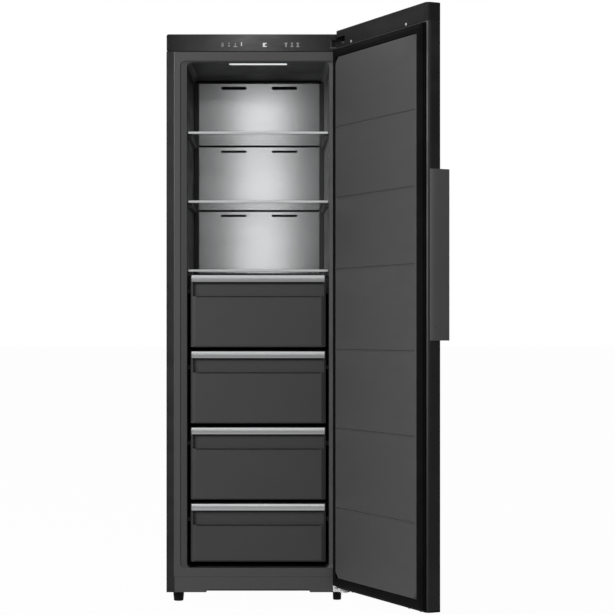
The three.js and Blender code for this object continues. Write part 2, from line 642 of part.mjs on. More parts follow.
// Angle bracket under the door's corner, with the pin that carries the door.
function lowerHingeBracket() {
  const plate = alongY(roundedOutline([243, 292], [37, 58], 3, 2), -4.8, -CLEARANCE);
  const arm = alongZ([[HINGE_X - 12, -1], [HINGE_X - 12, HINGE_Y], ...halfRound(12),
    [HINGE_X + 12, HINGE_Y], [HINGE_X + 12, -1]], 40, 45);
  const pin = rod(PIN_RADIUS, 16, [HINGE_X, HINGE_Y], [42, 73]);
  return join(plate, arm, pin);
}

function footX(side) {
  return side < 0 ? -261 : 259;
}

function footY(side) {
  return side < 0 ? FOOT_Y : FOOT_Y + 20;
}

// Levelling foot: tapered pad on a threaded stud.
function frontFoot(side) {
  const profile = side < 0
    ? [[0, 0], [14.5, 0], [15.5, 1.2], [17.5, 22], [17.5, 30], [15.5, 33], [5, 33], [5, 70], [0, 70]]
    : [[0, 0], [12.5, 0], [13.4, 1.2], [14, 18], [14, 24], [5, 24], [5, 70], [0, 70]];
  return turned(profile, 16);
}

const ROLLER_AXLE_Z = ROLLER_RADIUS * Math.cos(Math.PI / ROLLER_SIDES);

function rearRoller() {
  return turned([[3.4, -9], [14, -9], [ROLLER_RADIUS, -7], [ROLLER_RADIUS, 7], [14, 9], [3.4, 9],
    [3.4, -9]], ROLLER_SIDES).rotateZ(Math.PI / ROLLER_SIDES).rotateY(Math.PI / 2);
}

// Folded bracket with the roller's axle riveted through its cheeks.
function rollerBracket() {
  const top = CASE_BOTTOM;
  const web = box([-13, 13], [-15, 15], [top - 2, top]);
  const cheekOutline = [[-15, top], [-15, top - 8], [-6, ROLLER_AXLE_Z - 6], [6, ROLLER_AXLE_Z - 6],
    [15, top - 8], [15, top]];
  const cheeks = [-13, 11].map((x) => alongX(cheekOutline, x, x + 2));
  const axle = new THREE.CylinderGeometry(3, 3, 30, 12).rotateZ(Math.PI / 2).translate(0, 0, ROLLER_AXLE_Z);
  return join(web, axle, ...cheeks);
}

// ---------------------------------------------------------------- shelves and drawers
function shelfGlass(top) {
  return alongZ(roundedOutline([-224.5, 224.5], [SHELF_FRONT + 4, SHELF_BACK - 2], 4, 1), top - 4, top);
}

// Front trim: a channel that holds the glass edge, with a small lip against spills.
function shelfTrim(top) {
  const outline = [[SHELF_FRONT, top - 5.5], [SHELF_FRONT + 1, top - 6.2], [SHELF_FRONT + 13, top - 6.2],
    [SHELF_FRONT + 13, top - 4.3], [SHELF_FRONT + 3.6, top - 4.3], [SHELF_FRONT + 3.6, top + 0.3],
    [SHELF_FRONT + 11, top + 0.3], [SHELF_FRONT + 10, top + 1.6], [SHELF_FRONT + 1, top + 1.6],
    [SHELF_FRONT, top + 0.8]];
  return alongX(outline, -227, 227);
}

const BIN_FRONT = 45;

// Tapered bin with rounded corners and an outward rim that rides on the liner's rails.
function drawerBin(n) {
  const [floor, rim, back] = [drawerTop(n) - drawerHeight(n) + 3, rimTop(n), binBack(n)];
  const ring = (half, frontInset, backInset, radius, z) => lying(roundedOutline(
    [-half, half], [BIN_FRONT + frontInset, back - backInset], radius), z);
  return skinOver([
    ring(196, 3, 16, 16, floor),
    ring(204.5, 1, 8, 18, rim - RIM_THICKNESS),
    ring(215, 0, 0, 20, rim - RIM_THICKNESS),
    ring(215, 0, 0, 20, rim),
    ring(202.5, 3, 10, 16, rim),
    ring(194, 5, 18, 14, floor + 2.2),
  ]);
}

// The finger recess under the pull bar, between two cheeks, with a ledge at its foot.
function fingerRecess(n, grow) {
  const top = drawerTop(n);
  const outline = [[5, top - 24.2 + grow], [27 + grow * 0.4, top - 24.2 + grow], [38 + grow, top - 30 + grow],
    [38 + grow, top - 69 - grow], [5, top - 70.6 - grow]];
  return alongX(outline, -213 - grow, 213 + grow);
}

// The drawer front as a full block: pull bar seat, face with bevelled sides, and the recess.
function drawerFrontBlock(n, inset) {
  const [high, low] = [drawerTop(n) - inset, drawerTop(n) - drawerHeight(n) + inset];
  const seat = drawerTop(n) - 24.2 - inset;
  const back = BIN_FRONT - 0.5 + (inset ? 5 : 0);
  const side = [[back, high], [27 + inset, high], [27 + inset, seat], [20 + inset, seat],
    [20 + inset, low + 5], [23 + inset, low], [back, low]];
  const half = 220 - inset;
  const bevel = [[-half, 60], [-half, 27 + inset], [-half + 20, 17 + inset], [half - 20, 17 + inset],
    [half, 27 + inset], [half, 60]];
  const block = common(alongX(side, -half, half), alongZ(bevel, low - 1, high + 1));
  return cut(block, fingerRecess(n, inset));
}

// Moulded drawer front, open behind, with side bevels and upright stiffening ribs.
function drawerFront(n) {
  const wall = 2.5;
  const shell = cut(drawerFrontBlock(n, 0), drawerFrontBlock(n, wall));
  const ribs = [-110, 0, 110].map((x) => common(drawerFrontBlock(n, 0.5),
    box([x - 1, x + 1], [10, BIN_FRONT - 2], [drawerTop(n) - drawerHeight(n), drawerTop(n) - 72])));
  return join(shell, ...ribs);
}

// Silver pull bar with a bowed face, flat behind.
function drawerGrip(n) {
  const top = drawerTop(n);
  const outline = [[26.7, top], [20, top], [17.2, top - 1.2], [15.4, top - 3.6], [14.3, top - 7], [14, top - 11],
    [14.4, top - 15], [15.4, top - 19], [17, top - 22.2], [19, top - 23.4], [20.6, top - 22],
    [20.6, top - 19], [26.7, top - 18]];
  return alongX(outline, -216.5, 216.5);
}

// ---------------------------------------------------------------- door, drawn closed
const DOOR_IN = -DOOR_GAP;
const DOOR_OUT = DOOR_IN - DOOR_THICKNESS;
const SKIN_BOTTOM = 62;
const SKIN_TOP = 1795;

const SKIN_BEND = 15;              // the skin's wide bend towards the liner
const FRONT_BEND = 3.5;

// Half plan of the door, from near its folded inner edge round the free corner to the front.
function doorCornerPlan(inset) {
  const points = [];
  const addBend = (radius, y, from, to, steps) => {
    for (let k = 0; k <= steps; k += 1) {
      const angle = rad(from + (to - from) * k / steps);
      points.push([HALF - radius + (radius - inset) * Math.cos(angle), y + (radius - inset) * Math.sin(angle)]);
    }
  };
  addBend(SKIN_BEND, DOOR_IN - SKIN_BEND, 90, 0, 5);
  addBend(FRONT_BEND, DOOR_OUT + FRONT_BEND, 0, -90, 3);
  return points;
}

function mirrored(half) {
  return [...half.map(([a, b]) => [-a, b]), ...[...half].reverse()];
}

// Plan of the door's outer skin, from one folded inner edge round the front to the other.
const doorSkinOutline = (inset) => mirrored([[HALF - 20, DOOR_IN - inset], ...doorCornerPlan(inset)]);

function doorOuterPanel() {
  const outside = doorSkinOutline(0);
  const inside = doorSkinOutline(SHEET).reverse();
  return alongZ([...outside, ...inside], SKIN_BOTTOM, SKIN_TOP);
}

const CAP_RECESS = { x: [228, HALF + 1], y: [DOOR_OUT + 3, DOOR_IN + 1], z: [1803, 1828] };
const BUSH_RADIUS = 7;
const doorCorners = (inset) => mirrored(doorCornerPlan(inset));

// What fills the folded skin up to the given depth, clear of the sheet.
function doorCore(back, z0, z1) {
  return common(alongZ(doorCorners(SHEET + 0.4), z0, z1),
    box([-HALF, HALF], [DOOR_OUT, back], [z0 - 1, z1 + 1]));
}

// Moulded end cap on the door, with the pocket that the upper hinge arm swings in.
function doorTopCap() {
  const cap = skinOver([lying(doorCorners(0), SKIN_TOP + CLEARANCE), lying(doorCorners(0), DOOR_TOP - 1.2),
    lying(doorCorners(1.2), DOOR_TOP)]);
  const spigot = doorCore(DOOR_IN - 3.5, 1783, SKIN_TOP + 1);
  return cut(join(cap, spigot), box(CAP_RECESS.x, CAP_RECESS.y, CAP_RECESS.z),
    rod(BUSH_RADIUS + CLEARANCE, 16, [HINGE_X, HINGE_Y], [1780, 1810]));
}

function doorBottomCap() {
  const cap = skinOver([lying(doorCorners(1), DOOR_BOTTOM), lying(doorCorners(0), DOOR_BOTTOM + 1),
    lying(doorCorners(0), SKIN_BOTTOM - CLEARANCE)]);
  const spigot = doorCore(DOOR_IN - 3.5, SKIN_BOTTOM - 1, 75);
  const nubs = [187, -180, -250].map((x) => rod(8, 10, [x, DOOR_IN - 12], [DOOR_BOTTOM - 2.4, DOOR_BOTTOM + 3]));
  return cut(join(cap, spigot, ...nubs), rod(BUSH_RADIUS + CLEARANCE, 16, [HINGE_X, HINGE_Y], [50, 80]));
}

// Bearing sleeves pressed into the door's end caps, with a collar towards the hinge arm.
function doorBush(collar, sleeve) {
  const bore = PIN_RADIUS + CLEARANCE;
  const outer = BUSH_RADIUS;
  const [c0, c1, s0, s1] = [...collar, ...sleeve];
  const profile = c0 > s0
    ? [[bore, s0], [outer, s0], [outer, s1], [outer + 2.5, c0], [outer + 2.5, c1], [bore, c1], [bore, s0]]
    : [[bore, c0], [outer + 2.5, c0], [outer + 2.5, c1], [outer, s0], [outer, s1], [bore, s1], [bore, c0]];
  return turned(profile, 16).translate(HINGE_X, HINGE_Y, 0);
}

const PLATEAU = { rise: 16, x: 269, z: [84.5, 1767], slope: 8, top: 18, foot: 5 };
const GROOVE_HEIGHTS = [1535.5, 1309, 1080, 822.5, 570, 315];
const FLANGE_FRONT = DOOR_IN - SHEET - CLEARANCE;

// The door liner's raised field: sloped sides and cut-off corners.
function plateau(inset, bottomY) {
  const { rise, x, z, slope, top, foot } = PLATEAU;
  const outline = (s, chamfer) => chamferedOutline([-x + s, x - s], [z[0] + s, z[1] - s], chamfer);
  return skinOver([standing(outline(inset, foot), bottomY), standing(outline(inset, foot), DOOR_IN),
    standing(outline(slope + inset, top), DOOR_IN + rise - inset)]);
}

// Moulded door liner with six grooves pressed across its field.
function doorLiner() {
  const wall = 2;
  const flange = box([-HALF + SKIN_BEND, HALF - SKIN_BEND], [FLANGE_FRONT - wall, FLANGE_FRONT],
    [SKIN_BOTTOM + 15, SKIN_TOP - 0.5]);
  const shell = cut(join(flange, plateau(0, FLANGE_FRONT - wall)), plateau(wall, FLANGE_FRONT - wall - 1));
  const face = DOOR_IN + PLATEAU.rise;
  const [back, open] = [[], []];
  for (const z of GROOVE_HEIGHTS) {
    back.push(alongX([[face - 5, z - 3], [face - 5, z + 3], [face - 1, z + 6.5], [face - 1, z - 6.5]], -253, 253));
    open.push(alongX([[face - 3, z - 1.4], [face - 3, z + 1.4], [face + 1, z + 4.6], [face + 1, z - 4.6]],
      -254, 254));
  }
  return cut(join(shell, ...back), ...open);
}

// Foam core of the door, up into the hollow of the liner's raised field.
function doorFoam() {
  const core = doorCore(FLANGE_FRONT - 2 - CLEARANCE, 75.4, 1782.6);
  const field = plateau(2 + CLEARANCE, DOOR_IN - 12);
  const face = DOOR_IN + PLATEAU.rise;
  const ribs = GROOVE_HEIGHTS.map((z) => box([-254, 254], [face - 5.4, face], [z - 7, z + 7]));
  return cut(join(core, field), ...ribs);
}

// Magnetic gasket: a bellows that carries a magnet bulb, mitred at the four corners.
function doorGasket() {
  const [x, z0, z1] = [269.4, 84.1, 1767.4];
  const base = DOOR_IN + CLEARANCE;
  const face = -0.6;
  const profile = [[0, base], [23, base], [23, base + 3], [19.5, base + 5.4], [22.5, base + 7.6], [20, -5.2],
    [7.4, face], [-4.6, face], [-6.6, -3], [-2, base + 6.5], [0, base + 3.4]];
  const ring = ([out, y]) => [[-x - out, y, z0 - out], [x + out, y, z0 - out],
    [x + out, y, z1 + out], [-x - out, y, z1 + out]];
  const rings = profile.map(ring);
  const points = rings.flat(2);
  const index = [];
  profile.forEach((_, r) => {
    const after = (r + 1) % profile.length;
    for (let k = 0; k < 4; k += 1) {
      const next = (k + 1) % 4;
      const [a, b, c, d] = [r * 4 + k, r * 4 + next, after * 4 + next, after * 4 + k];
      index.push(a, b, c, a, c, d);
    }
  });
  const geometry = new THREE.BufferGeometry();
  geometry.setAttribute('position', new THREE.Float32BufferAttribute(points, 3));
  geometry.setIndex(index);
  return outward(geometry);
}

const HANDLE_Z = [855, 1360];

// Side handle: an aluminium strip on the door's edge that stands proud of the door's front. Its
// face is bowed, its front edge is turned in as a grip, and a set-screw sits near its lower end.
function doorHandle() {
  const near = -HALF - CLEARANCE;
  const back = DOOR_IN - 10.5;
  const front = DOOR_OUT - 27.5;
  const face = [[1.2, back], [2.5, back - 3], [3.8, back - 8], [4.7, back - 15], [5.2, back - 25],
    [5.2, front + 9], [4.8, front + 3], [3.8, front]].map(([out, y]) => [near - out, y]);
  const strip = alongZ([[near, back], ...face, [near + 4.6, front], [near + 5.6, front + 1],
    [near + 5.6, front + 3.4], [near, front + 5]], ...HANDLE_Z);
  const screwHole = new THREE.CylinderGeometry(2.4, 2.4, 5, 12).rotateZ(Math.PI / 2)
    .translate(near - 5, back - 16, HANDLE_Z[0] + 40);
  return cut(strip, screwHole);
}

// ---------------------------------------------------------------- the assembly
function buildCabinet() {
  piece('outer_case', outerCase(), DARK_STEEL);
  piece('rear_panel', rearPanel(), ZINC);
  piece('cabinet_base', cabinetBase(), ZINC);
  piece('compressor_tray', compressorTray(), ZINC);
  piece('inner_liner', innerLiner(), GREY_LINER);
  piece('insulation_foam', insulationFoam(), FOAM_YELLOW);
  piece('control_panel', controlPanel(), BLACK_PLASTIC);
  piece('toe_panel', toePanel(), GREY_LINER);
  piece('ceiling_light_lens', ceilingLight(), LENS_WHITE);
  piece('condenser_left', condenser(-1), COPPER);
  piece('condenser_right', condenser(1), COPPER);
}

function buildColdAir() {
  piece('cooling_plate', coolingPlate(), BRUSHED);
  piece('air_duct_cover', airDuctCover(), DARK_LINER);
  piece('evaporator_coil', evaporatorCoil(), BARE_ALUMINIUM);
  piece('defrost_heater', defrostHeater(), BARE_ALUMINIUM);
  piece('fan_shroud', fanShroud(), PALE_PLASTIC);
  piece('fan_motor', fanMotor(), BLACK_PLASTIC);
  piece('fan_wheel', fanWheel(), PALE_PLASTIC).position.set(0, SHROUD_Y - 9, FAN_Z);
}

function buildMachine() {
  piece('compressor', compressorUnit(), BLACK_ENAMEL);
  piece('terminal_box', terminalBox(), BLACK_PLASTIC);
  piece('drain_tray', drainTray(), PALE_PLASTIC);
  piece('filter_dryer', filterDryer(), COPPER);
  piece('discharge_pipe', dischargePipe(), COPPER);
  piece('suction_pipe', suctionPipe(), COPPER);
  piece('cord_gland', cordGland(), BLACK_RUBBER);
}

function buildSupports() {
  piece('upper_hinge_bracket', upperHingeBracket(), ZINC);
  piece('lower_hinge_bracket', lowerHingeBracket(), ZINC);
  for (const [side, word] of [[-1, 'left'], [1, 'right']]) {
    piece(`front_foot_${word}`, frontFoot(side), BLACK_PLASTIC).position.set(footX(side), footY(side), 0);
    piece(`rear_roller_${word}`, rearRoller(), BLACK_PLASTIC)
      .position.set(side * ROLLER_X, ROLLER_Y, ROLLER_AXLE_Z);
    piece(`roller_bracket_${word}`, rollerBracket(), ZINC).position.set(side * ROLLER_X, ROLLER_Y, 0);
  }
}

function buildShelvesAndDrawers() {
  SHELF_TOPS.forEach((top, k) => {
    piece(`shelf_${k + 1}_glass`, shelfGlass(top), CLEAR_GLASS);
    piece(`shelf_${k + 1}_front_trim`, shelfTrim(top), BARE_ALUMINIUM);
  });
  for (const n of [1, 2, 3, 4]) {
    piece(`drawer_${n}_bin`, drawerBin(n), DRAWER_GREY);
    piece(`drawer_${n}_front`, drawerFront(n), DRAWER_GREY);
    piece(`drawer_${n}_grip`, drawerGrip(n), BRUSHED);
  }
}

function buildDoor() {
  piece('door_outer_panel', doorOuterPanel(), DARK_STEEL, doorPieces);
  piece('door_top_cap', doorTopCap(), BLACK_PLASTIC, doorPieces);
  piece('door_bottom_cap', doorBottomCap(), BLACK_PLASTIC, doorPieces);
  piece('door_foam', doorFoam(), FOAM_YELLOW, doorPieces);
  piece('door_liner', doorLiner(), GREY_LINER, doorPieces);
  piece('door_gasket', doorGasket(), BLACK_RUBBER, doorPieces);
  piece('door_handle', doorHandle(), ANTHRACITE, doorPieces);
  piece('door_upper_bush', doorBush([1803.4, 1805.4], [1784, 1803]), PALE_PLASTIC, doorPieces);
  piece('door_lower_bush', doorBush([45.3, 54.6], [55, 74.6]), PALE_PLASTIC, doorPieces);
  doorPieces.position.set(-HINGE_X, -HINGE_Y, 0);
  const swing = new THREE.Group();
  swing.add(doorPieces);
  swing.position.set(HINGE_X, HINGE_Y, 0);
  swing.rotation.z = rad(DOOR_ANGLE);
  freezer.add(swing);
}

buildCabinet();
buildColdAir();
buildMachine();
buildSupports();
buildShelvesAndDrawers();
buildDoor();

// The origin is on the floor, under the middle of the whole object as it stands.
const extent = new THREE.Box3().setFromObject(freezer, true);
const middle = extent.getCenter(new THREE.Vector3());
const standingObject = new THREE.Group();
standingObject.add(freezer);
freezer.position.set(-middle.x, -middle.y, -extent.min.z);

export default standingObject;
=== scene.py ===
# %% [markdown]
# # An upright freezer with its door open
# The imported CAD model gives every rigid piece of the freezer: steel wrapper, moulded liner,
# shelves, drawers, door and the cooling parts behind them. This lesson dresses that model. It
# sets the camera and the light, writes one procedural finish for each kind of surface, and adds
# the small things that stay out of the CAD, such as screws, indicator marks and thin trims.

import json
import math

import bmesh
import bpy
from mathutils import Matrix, Vector


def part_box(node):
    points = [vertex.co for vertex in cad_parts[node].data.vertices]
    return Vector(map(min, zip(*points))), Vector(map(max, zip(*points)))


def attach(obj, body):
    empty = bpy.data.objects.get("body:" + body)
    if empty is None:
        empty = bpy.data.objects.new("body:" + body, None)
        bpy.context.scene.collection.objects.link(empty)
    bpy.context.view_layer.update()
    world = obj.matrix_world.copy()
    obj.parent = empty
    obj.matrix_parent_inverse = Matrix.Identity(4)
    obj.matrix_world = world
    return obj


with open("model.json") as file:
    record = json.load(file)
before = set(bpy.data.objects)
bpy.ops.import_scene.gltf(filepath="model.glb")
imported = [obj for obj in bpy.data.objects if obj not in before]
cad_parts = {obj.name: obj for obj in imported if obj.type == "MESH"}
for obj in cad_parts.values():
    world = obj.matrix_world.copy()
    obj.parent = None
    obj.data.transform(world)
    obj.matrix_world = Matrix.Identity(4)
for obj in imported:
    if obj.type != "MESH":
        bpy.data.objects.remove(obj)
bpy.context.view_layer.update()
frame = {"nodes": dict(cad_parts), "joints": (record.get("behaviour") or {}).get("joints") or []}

# %% [markdown]
# The freezer was measured in millimetres from the middle of its front face, while the model's
# origin lies under the middle of the whole object with its door open. Two helpers turn
# millimetres into places: one for the cabinet, and one for the door, whose pieces are easier to
# describe on the closed door and are then swung open about the hinge pin.

# %% Two ways to say where something is
case_low, case_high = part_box("outer_case")
CENTRE_X = (case_low.x + case_high.x) / 2
FRONT_Y = case_low.y
hinge = next(joint_or_shadow_bar for joint_or_shadow_bar in frame["joints"] if joint_or_shadow_bar["name"] == "door_hinge")
PIN = Vector(hinge["pos_m"])
OPEN_ANGLE = math.radians(-hinge["range_deg"][0])


def on_cabinet(x, y, z):
    return Vector((CENTRE_X + x / 1000, FRONT_Y + y / 1000, z / 1000))


SWING = (Matrix.Translation((PIN.x, PIN.y, 0)) @ Matrix.Rotation(OPEN_ANGLE, 4, "Z")
         @ Matrix.Translation((-PIN.x, -PIN.y, 0)))


def on_door(x, y, z):
    return SWING @ on_cabinet(x, y, z)


print("pin", tuple(round(v, 4) for v in PIN), "open", round(math.degrees(OPEN_ANGLE)), "degrees")

# %% [markdown]
# ## Camera
# The photograph was taken square on, from far away and from the height of the lower shelf. The
# optical axis does not pass through the middle of the picture, because the picture was cropped,
# so the lens is shifted a little. Focal length, place and shift come from fitting the edges of
# the cabinet and of the door.

# %% Set up the camera
CAMERA_PLACE = (50.1, -5898, 887.3)
photo_camera = bpy.data.cameras.new("photo_camera")
photo_camera.sensor_width = 36
photo_camera.lens = 106.36
photo_camera.shift_x = 0.0552
photo_camera.shift_y = 0.0360
photo_camera.clip_end = 200
camera = bpy.data.objects.new("photo_camera", photo_camera)
camera.location = on_cabinet(*CAMERA_PLACE)
camera.rotation_euler = (math.radians(90), 0, 0)
bpy.context.scene.collection.objects.link(camera)
bpy.context.scene.camera = camera
print("camera at", tuple(round(v, 3) for v in camera.location))

# %% [markdown]
# ## Light
# Plain studio light: a soft grey world that lights the object from all round, and wide lamps
# for direction. What the camera and the reflections see of the world is white, through Light
# Path, so the backdrop is white without more light on the freezer. Reflections see the same
# white backdrop behind the freezer and a pale ceiling, but a dim room in front, as in a real
# studio. A tall narrow lamp beside the camera gives brushed metal its bright upright band, and
# a small card high above it gives the glossy control strip a soft sheen.

# %% Colour helper and view settings
bpy.context.scene.view_settings.view_transform = "Standard"


def tone(hex_code):
    """An sRGB hex code as the linear colour that a shader wants."""
    values = [int(hex_code[k:k + 2], 16) / 255 for k in (0, 2, 4)]
    linear = [v / 12.92 if v <= 0.04045 else ((v + 0.055) / 1.055) ** 2.4 for v in values]
    return (*linear, 1.0)


def put(tree, kind, inputs=None, **settings):
    """Adds a node, with its settings and the values or links of its inputs."""
    node = tree.nodes.new(kind)
    for key, value in settings.items():
        setattr(node, key, value)
    for key, value in (inputs or {}).items():
        if isinstance(value, bpy.types.NodeSocket):
            tree.links.new(value, node.inputs[key])
        else:
            node.inputs[key].default_value = value
    return node


def either(tree, first, second):
    """The larger of two values or masks."""
    return put(tree, "ShaderNodeMath", {0: first, 1: second}, operation="MAXIMUM").outputs[0]


print("liner grey in linear light", [round(v, 3) for v in tone("474748")])

# %% World
WORLD_LIGHT = 0.3
ROOM_LEVEL = 0.12
ROOM_FADE = (-0.45, 0.35)
CEILING_FADE = (0.3, 0.7)
studio = bpy.data.worlds.new("studio")
studio.use_nodes = True
studio.node_tree.nodes.clear()
sky = studio.node_tree
rays = put(sky, "ShaderNodeLightPath")
seen = either(sky, rays.outputs["Is Camera Ray"], rays.outputs["Is Transmission Ray"])
shown = either(sky, seen, rays.outputs["Is Glossy Ray"])
dim = put(sky, "ShaderNodeBackground", {"Color": (1, 1, 1, 1), "Strength": WORLD_LIGHT})
towards = put(sky, "ShaderNodeTexCoord")
way = put(sky, "ShaderNodeSeparateXYZ", {0: towards.outputs["Generated"]})
room = put(sky, "ShaderNodeMapRange", {0: way.outputs["Y"], 1: ROOM_FADE[0], 2: ROOM_FADE[1],
                                       3: ROOM_LEVEL, 4: 1.0}, interpolation_type="SMOOTHSTEP")
ceiling = put(sky, "ShaderNodeMapRange", {0: way.outputs["Z"], 1: CEILING_FADE[0], 2: CEILING_FADE[1],
                                          3: 0.0, 4: 1.0}, interpolation_type="SMOOTHSTEP")
mirrored = either(sky, either(sky, room.outputs[0], seen), ceiling.outputs[0])
white = put(sky, "ShaderNodeBackground", {"Color": (1, 1, 1, 1), "Strength": mirrored})
blend = put(sky, "ShaderNodeMixShader", {0: shown, 1: dim.outputs[0], 2: white.outputs[0]})
put(sky, "ShaderNodeOutputWorld", {"Surface": blend.outputs[0]})
bpy.context.scene.world = studio
print("world lights at", WORLD_LIGHT, "and shows as white")


# %% Lamps
def softbox(name, place, target, width, height, power):
    """A flat lamp at place that faces target: sides in metres, power in watts."""
    lamp = bpy.data.lights.new(name, "AREA")
    lamp.shape = "RECTANGLE"
    lamp.size = width
    lamp.size_y = height
    lamp.energy = power
    holder = bpy.data.objects.new(name, lamp)
    holder.location = place
    holder.rotation_euler = (Vector(target) - Vector(place)).to_track_quat("-Z", "Y").to_euler()
    bpy.context.scene.collection.objects.link(holder)


middle = on_cabinet(0, 200, 950)
softbox("key_softbox", on_cabinet(-3000, -3700, 2400), middle, 2.2, 2.0, 155)
softbox("low_softbox", on_cabinet(-2300, -4100, 500), on_cabinet(0, 0, 300), 0.8, 1.6, 16)
softbox("fill_softbox", on_cabinet(1700, -4400, 2500), middle, 2.0, 2.0, 16)
softbox("band_lamp", on_cabinet(-14, -3900, 1775), on_cabinet(0, 430, 1400), 0.3, 1.95, 5.0)
softbox("panel_card", on_cabinet(-240, -3900, 2434), on_cabinet(0, 0, 1818), 0.4, 0.22, 0.5)

# %% [markdown]
# ## Floor
# A pale floor runs out behind and in front of the freezer. Its own colour is lit as usual, and
# part of it glows for the camera, so that it meets the white backdrop without a horizon and
# still keeps the soft shadow under the feet.

# %% Make the floor
FLOOR_LEVEL = 0.3
FLOOR_GLOW = 0.975
FLOOR_FADE = (-1.2, 0.8)
UNDER_FEET = 0.0005
floor_mesh = bpy.data.meshes.new("floor")
reach = 90
floor_mesh.from_pydata([(-reach, -reach, 0), (reach, -reach, 0), (reach, reach, 0), (-reach, reach, 0)],
                       [], [(0, 1, 2, 3)])
floor = bpy.data.objects.new("floor", floor_mesh)
floor.location.z = -UNDER_FEET
bpy.context.scene.collection.objects.link(floor)
floor_finish = bpy.data.materials.new("pale_floor")
floor_finish.use_nodes = True
floor_tree = floor_finish.node_tree
floor_tree.nodes.clear()
floor_rays = put(floor_tree, "ShaderNodeLightPath")
floor_seen = either(floor_tree, floor_rays.outputs["Is Camera Ray"],
                    floor_rays.outputs["Is Transmission Ray"])
floor_shown = either(floor_tree, floor_seen, floor_rays.outputs["Is Glossy Ray"])
floor_share = put(floor_tree, "ShaderNodeMath", {0: floor_shown, 1: FLOOR_GLOW}, operation="MULTIPLY")
floor_place = put(floor_tree, "ShaderNodeNewGeometry")
floor_way = put(floor_tree, "ShaderNodeSeparateXYZ", {0: floor_place.outputs["Position"]})
floor_room = put(floor_tree, "ShaderNodeMapRange",
                 {0: floor_way.outputs["Y"], 1: FLOOR_FADE[0], 2: FLOOR_FADE[1], 3: FLOOR_LEVEL, 4: 1.0})
floor_strength = either(floor_tree, floor_room.outputs[0], floor_seen)
floor_pale = put(floor_tree, "ShaderNodeMapRange",
                 {0: floor_rays.outputs["Is Camera Ray"], 3: 0.5, 4: 0.95})
floor_lit = put(floor_tree, "ShaderNodeBsdfDiffuse", {"Color": floor_pale.outputs[0]})
floor_glow = put(floor_tree, "ShaderNodeEmission", {"Color": (1, 1, 1, 1),
                                                    "Strength": floor_strength})
floor_mix = put(floor_tree, "ShaderNodeMixShader",
                {0: floor_share.outputs[0], 1: floor_lit.outputs[0], 2: floor_glow.outputs[0]})
put(floor_tree, "ShaderNodeOutputMaterial", {"Surface": floor_mix.outputs[0]})
floor_mesh.materials.append(floor_finish)
print("floor", reach * 2, "m across")

# %% [markdown]
# ## Shared effects
# Several finishes need the same small effects: the fine grain of a mould, brushed lines, soft
# smudges where hands and cloths go, and edges that are a little rounded. Each effect is a node
# group that puts out a height, a mask or a normal, so that every material can use it with its
# own values while the shader itself stays in the material.


# %% A helper for node groups
def effect(name, inputs, outputs):
    """A new shader node group: inputs are (name, value) and outputs are names."""
    group = bpy.data.node_groups.new(name, "ShaderNodeTree")
    for label, value in inputs:
        socket = group.interface.new_socket(label, in_out="INPUT", socket_type="NodeSocketFloat")
        socket.default_value = value
    for label, kind in outputs:
        group.interface.new_socket(label, in_out="OUTPUT", socket_type=kind)
    entry = group.nodes.new("NodeGroupInput")
    leave = group.nodes.new("NodeGroupOutput")
    return group, entry, leave


def ramp(tree, value, low, high, bottom=0.0, top=1.0):
    """Maps value from low..high to bottom..top."""
    return put(tree, "ShaderNodeMapRange", {0: value, 1: low, 2: high, 3: bottom, 4: top}).outputs[0]


# %% Mould grain: the fine orange peel of a moulded or powder-coated face
grain, entry, leave = effect("mould_grain", [("Size mm", 0.8), ("Patchiness", 0.3)],
                             [("Height", "NodeSocketFloat"), ("Patch", "NodeSocketFloat")])
place = put(grain, "ShaderNodeTexCoord")
fineness = put(grain, "ShaderNodeMath", {0: 1000.0, 1: entry.outputs["Size mm"]}, operation="DIVIDE")
peel = put(grain, "ShaderNodeTexNoise", {"Vector": place.outputs["Object"], "Scale": fineness.outputs[0],
                                         "Detail": 2.0, "Roughness": 0.55})
pits = put(grain, "ShaderNodeTexVoronoi", {"Vector": place.outputs["Object"], "Scale": fineness.outputs[0]},
           feature="SMOOTH_F1")
height = put(grain, "ShaderNodeMath", {0: peel.outputs["Fac"], 1: pits.outputs["Distance"]}, operation="ADD")
cloud = put(grain, "ShaderNodeTexNoise", {"Vector": place.outputs["Object"], "Scale": 3.5, "Detail": 3.0})
spread = put(grain, "ShaderNodeMath", {0: cloud.outputs["Fac"], 1: 0.5}, operation="SUBTRACT")
patch = put(grain, "ShaderNodeMath", {0: spread.outputs[0], 1: entry.outputs["Patchiness"]},
            operation="MULTIPLY")
grain.links.new(height.outputs[0], leave.inputs["Height"])
grain.links.new(patch.outputs[0], leave.inputs["Patch"])
print("group", grain.name)

# %% Brushed lines: long fine scratches across the face, left by the abrasive belt
brushed, entry, leave = effect("brushed_lines", [("Turn", 0.0), ("Line mm", 0.5)],
                               [("Height", "NodeSocketFloat"), ("Streak", "NodeSocketFloat")])
place = put(brushed, "ShaderNodeTexCoord")
turn = put(brushed, "ShaderNodeCombineXYZ", {1: entry.outputs["Turn"]})
turned = put(brushed, "ShaderNodeVectorRotate", {"Vector": place.outputs["Object"],
                                                 "Rotation": turn.outputs[0]}, rotation_type="EULER_XYZ")
lines = put(brushed, "ShaderNodeMath", {0: 1000.0, 1: entry.outputs["Line mm"]}, operation="DIVIDE")
stretch = put(brushed, "ShaderNodeCombineXYZ", {0: 3.0, 1: lines.outputs[0], 2: lines.outputs[0]})
drawn = put(brushed, "ShaderNodeVectorMath", {0: turned.outputs[0], 1: stretch.outputs[0]},
            operation="MULTIPLY")
scratch = put(brushed, "ShaderNodeTexNoise", {"Vector": drawn.outputs[0], "Scale": 1.0, "Detail": 3.0,
                                              "Roughness": 0.7})
brushed.links.new(scratch.outputs["Fac"], leave.inputs["Height"])
brushed.links.new(ramp(brushed, scratch.outputs["Fac"], 0.3, 0.7), leave.inputs["Streak"])
print("group", brushed.name)

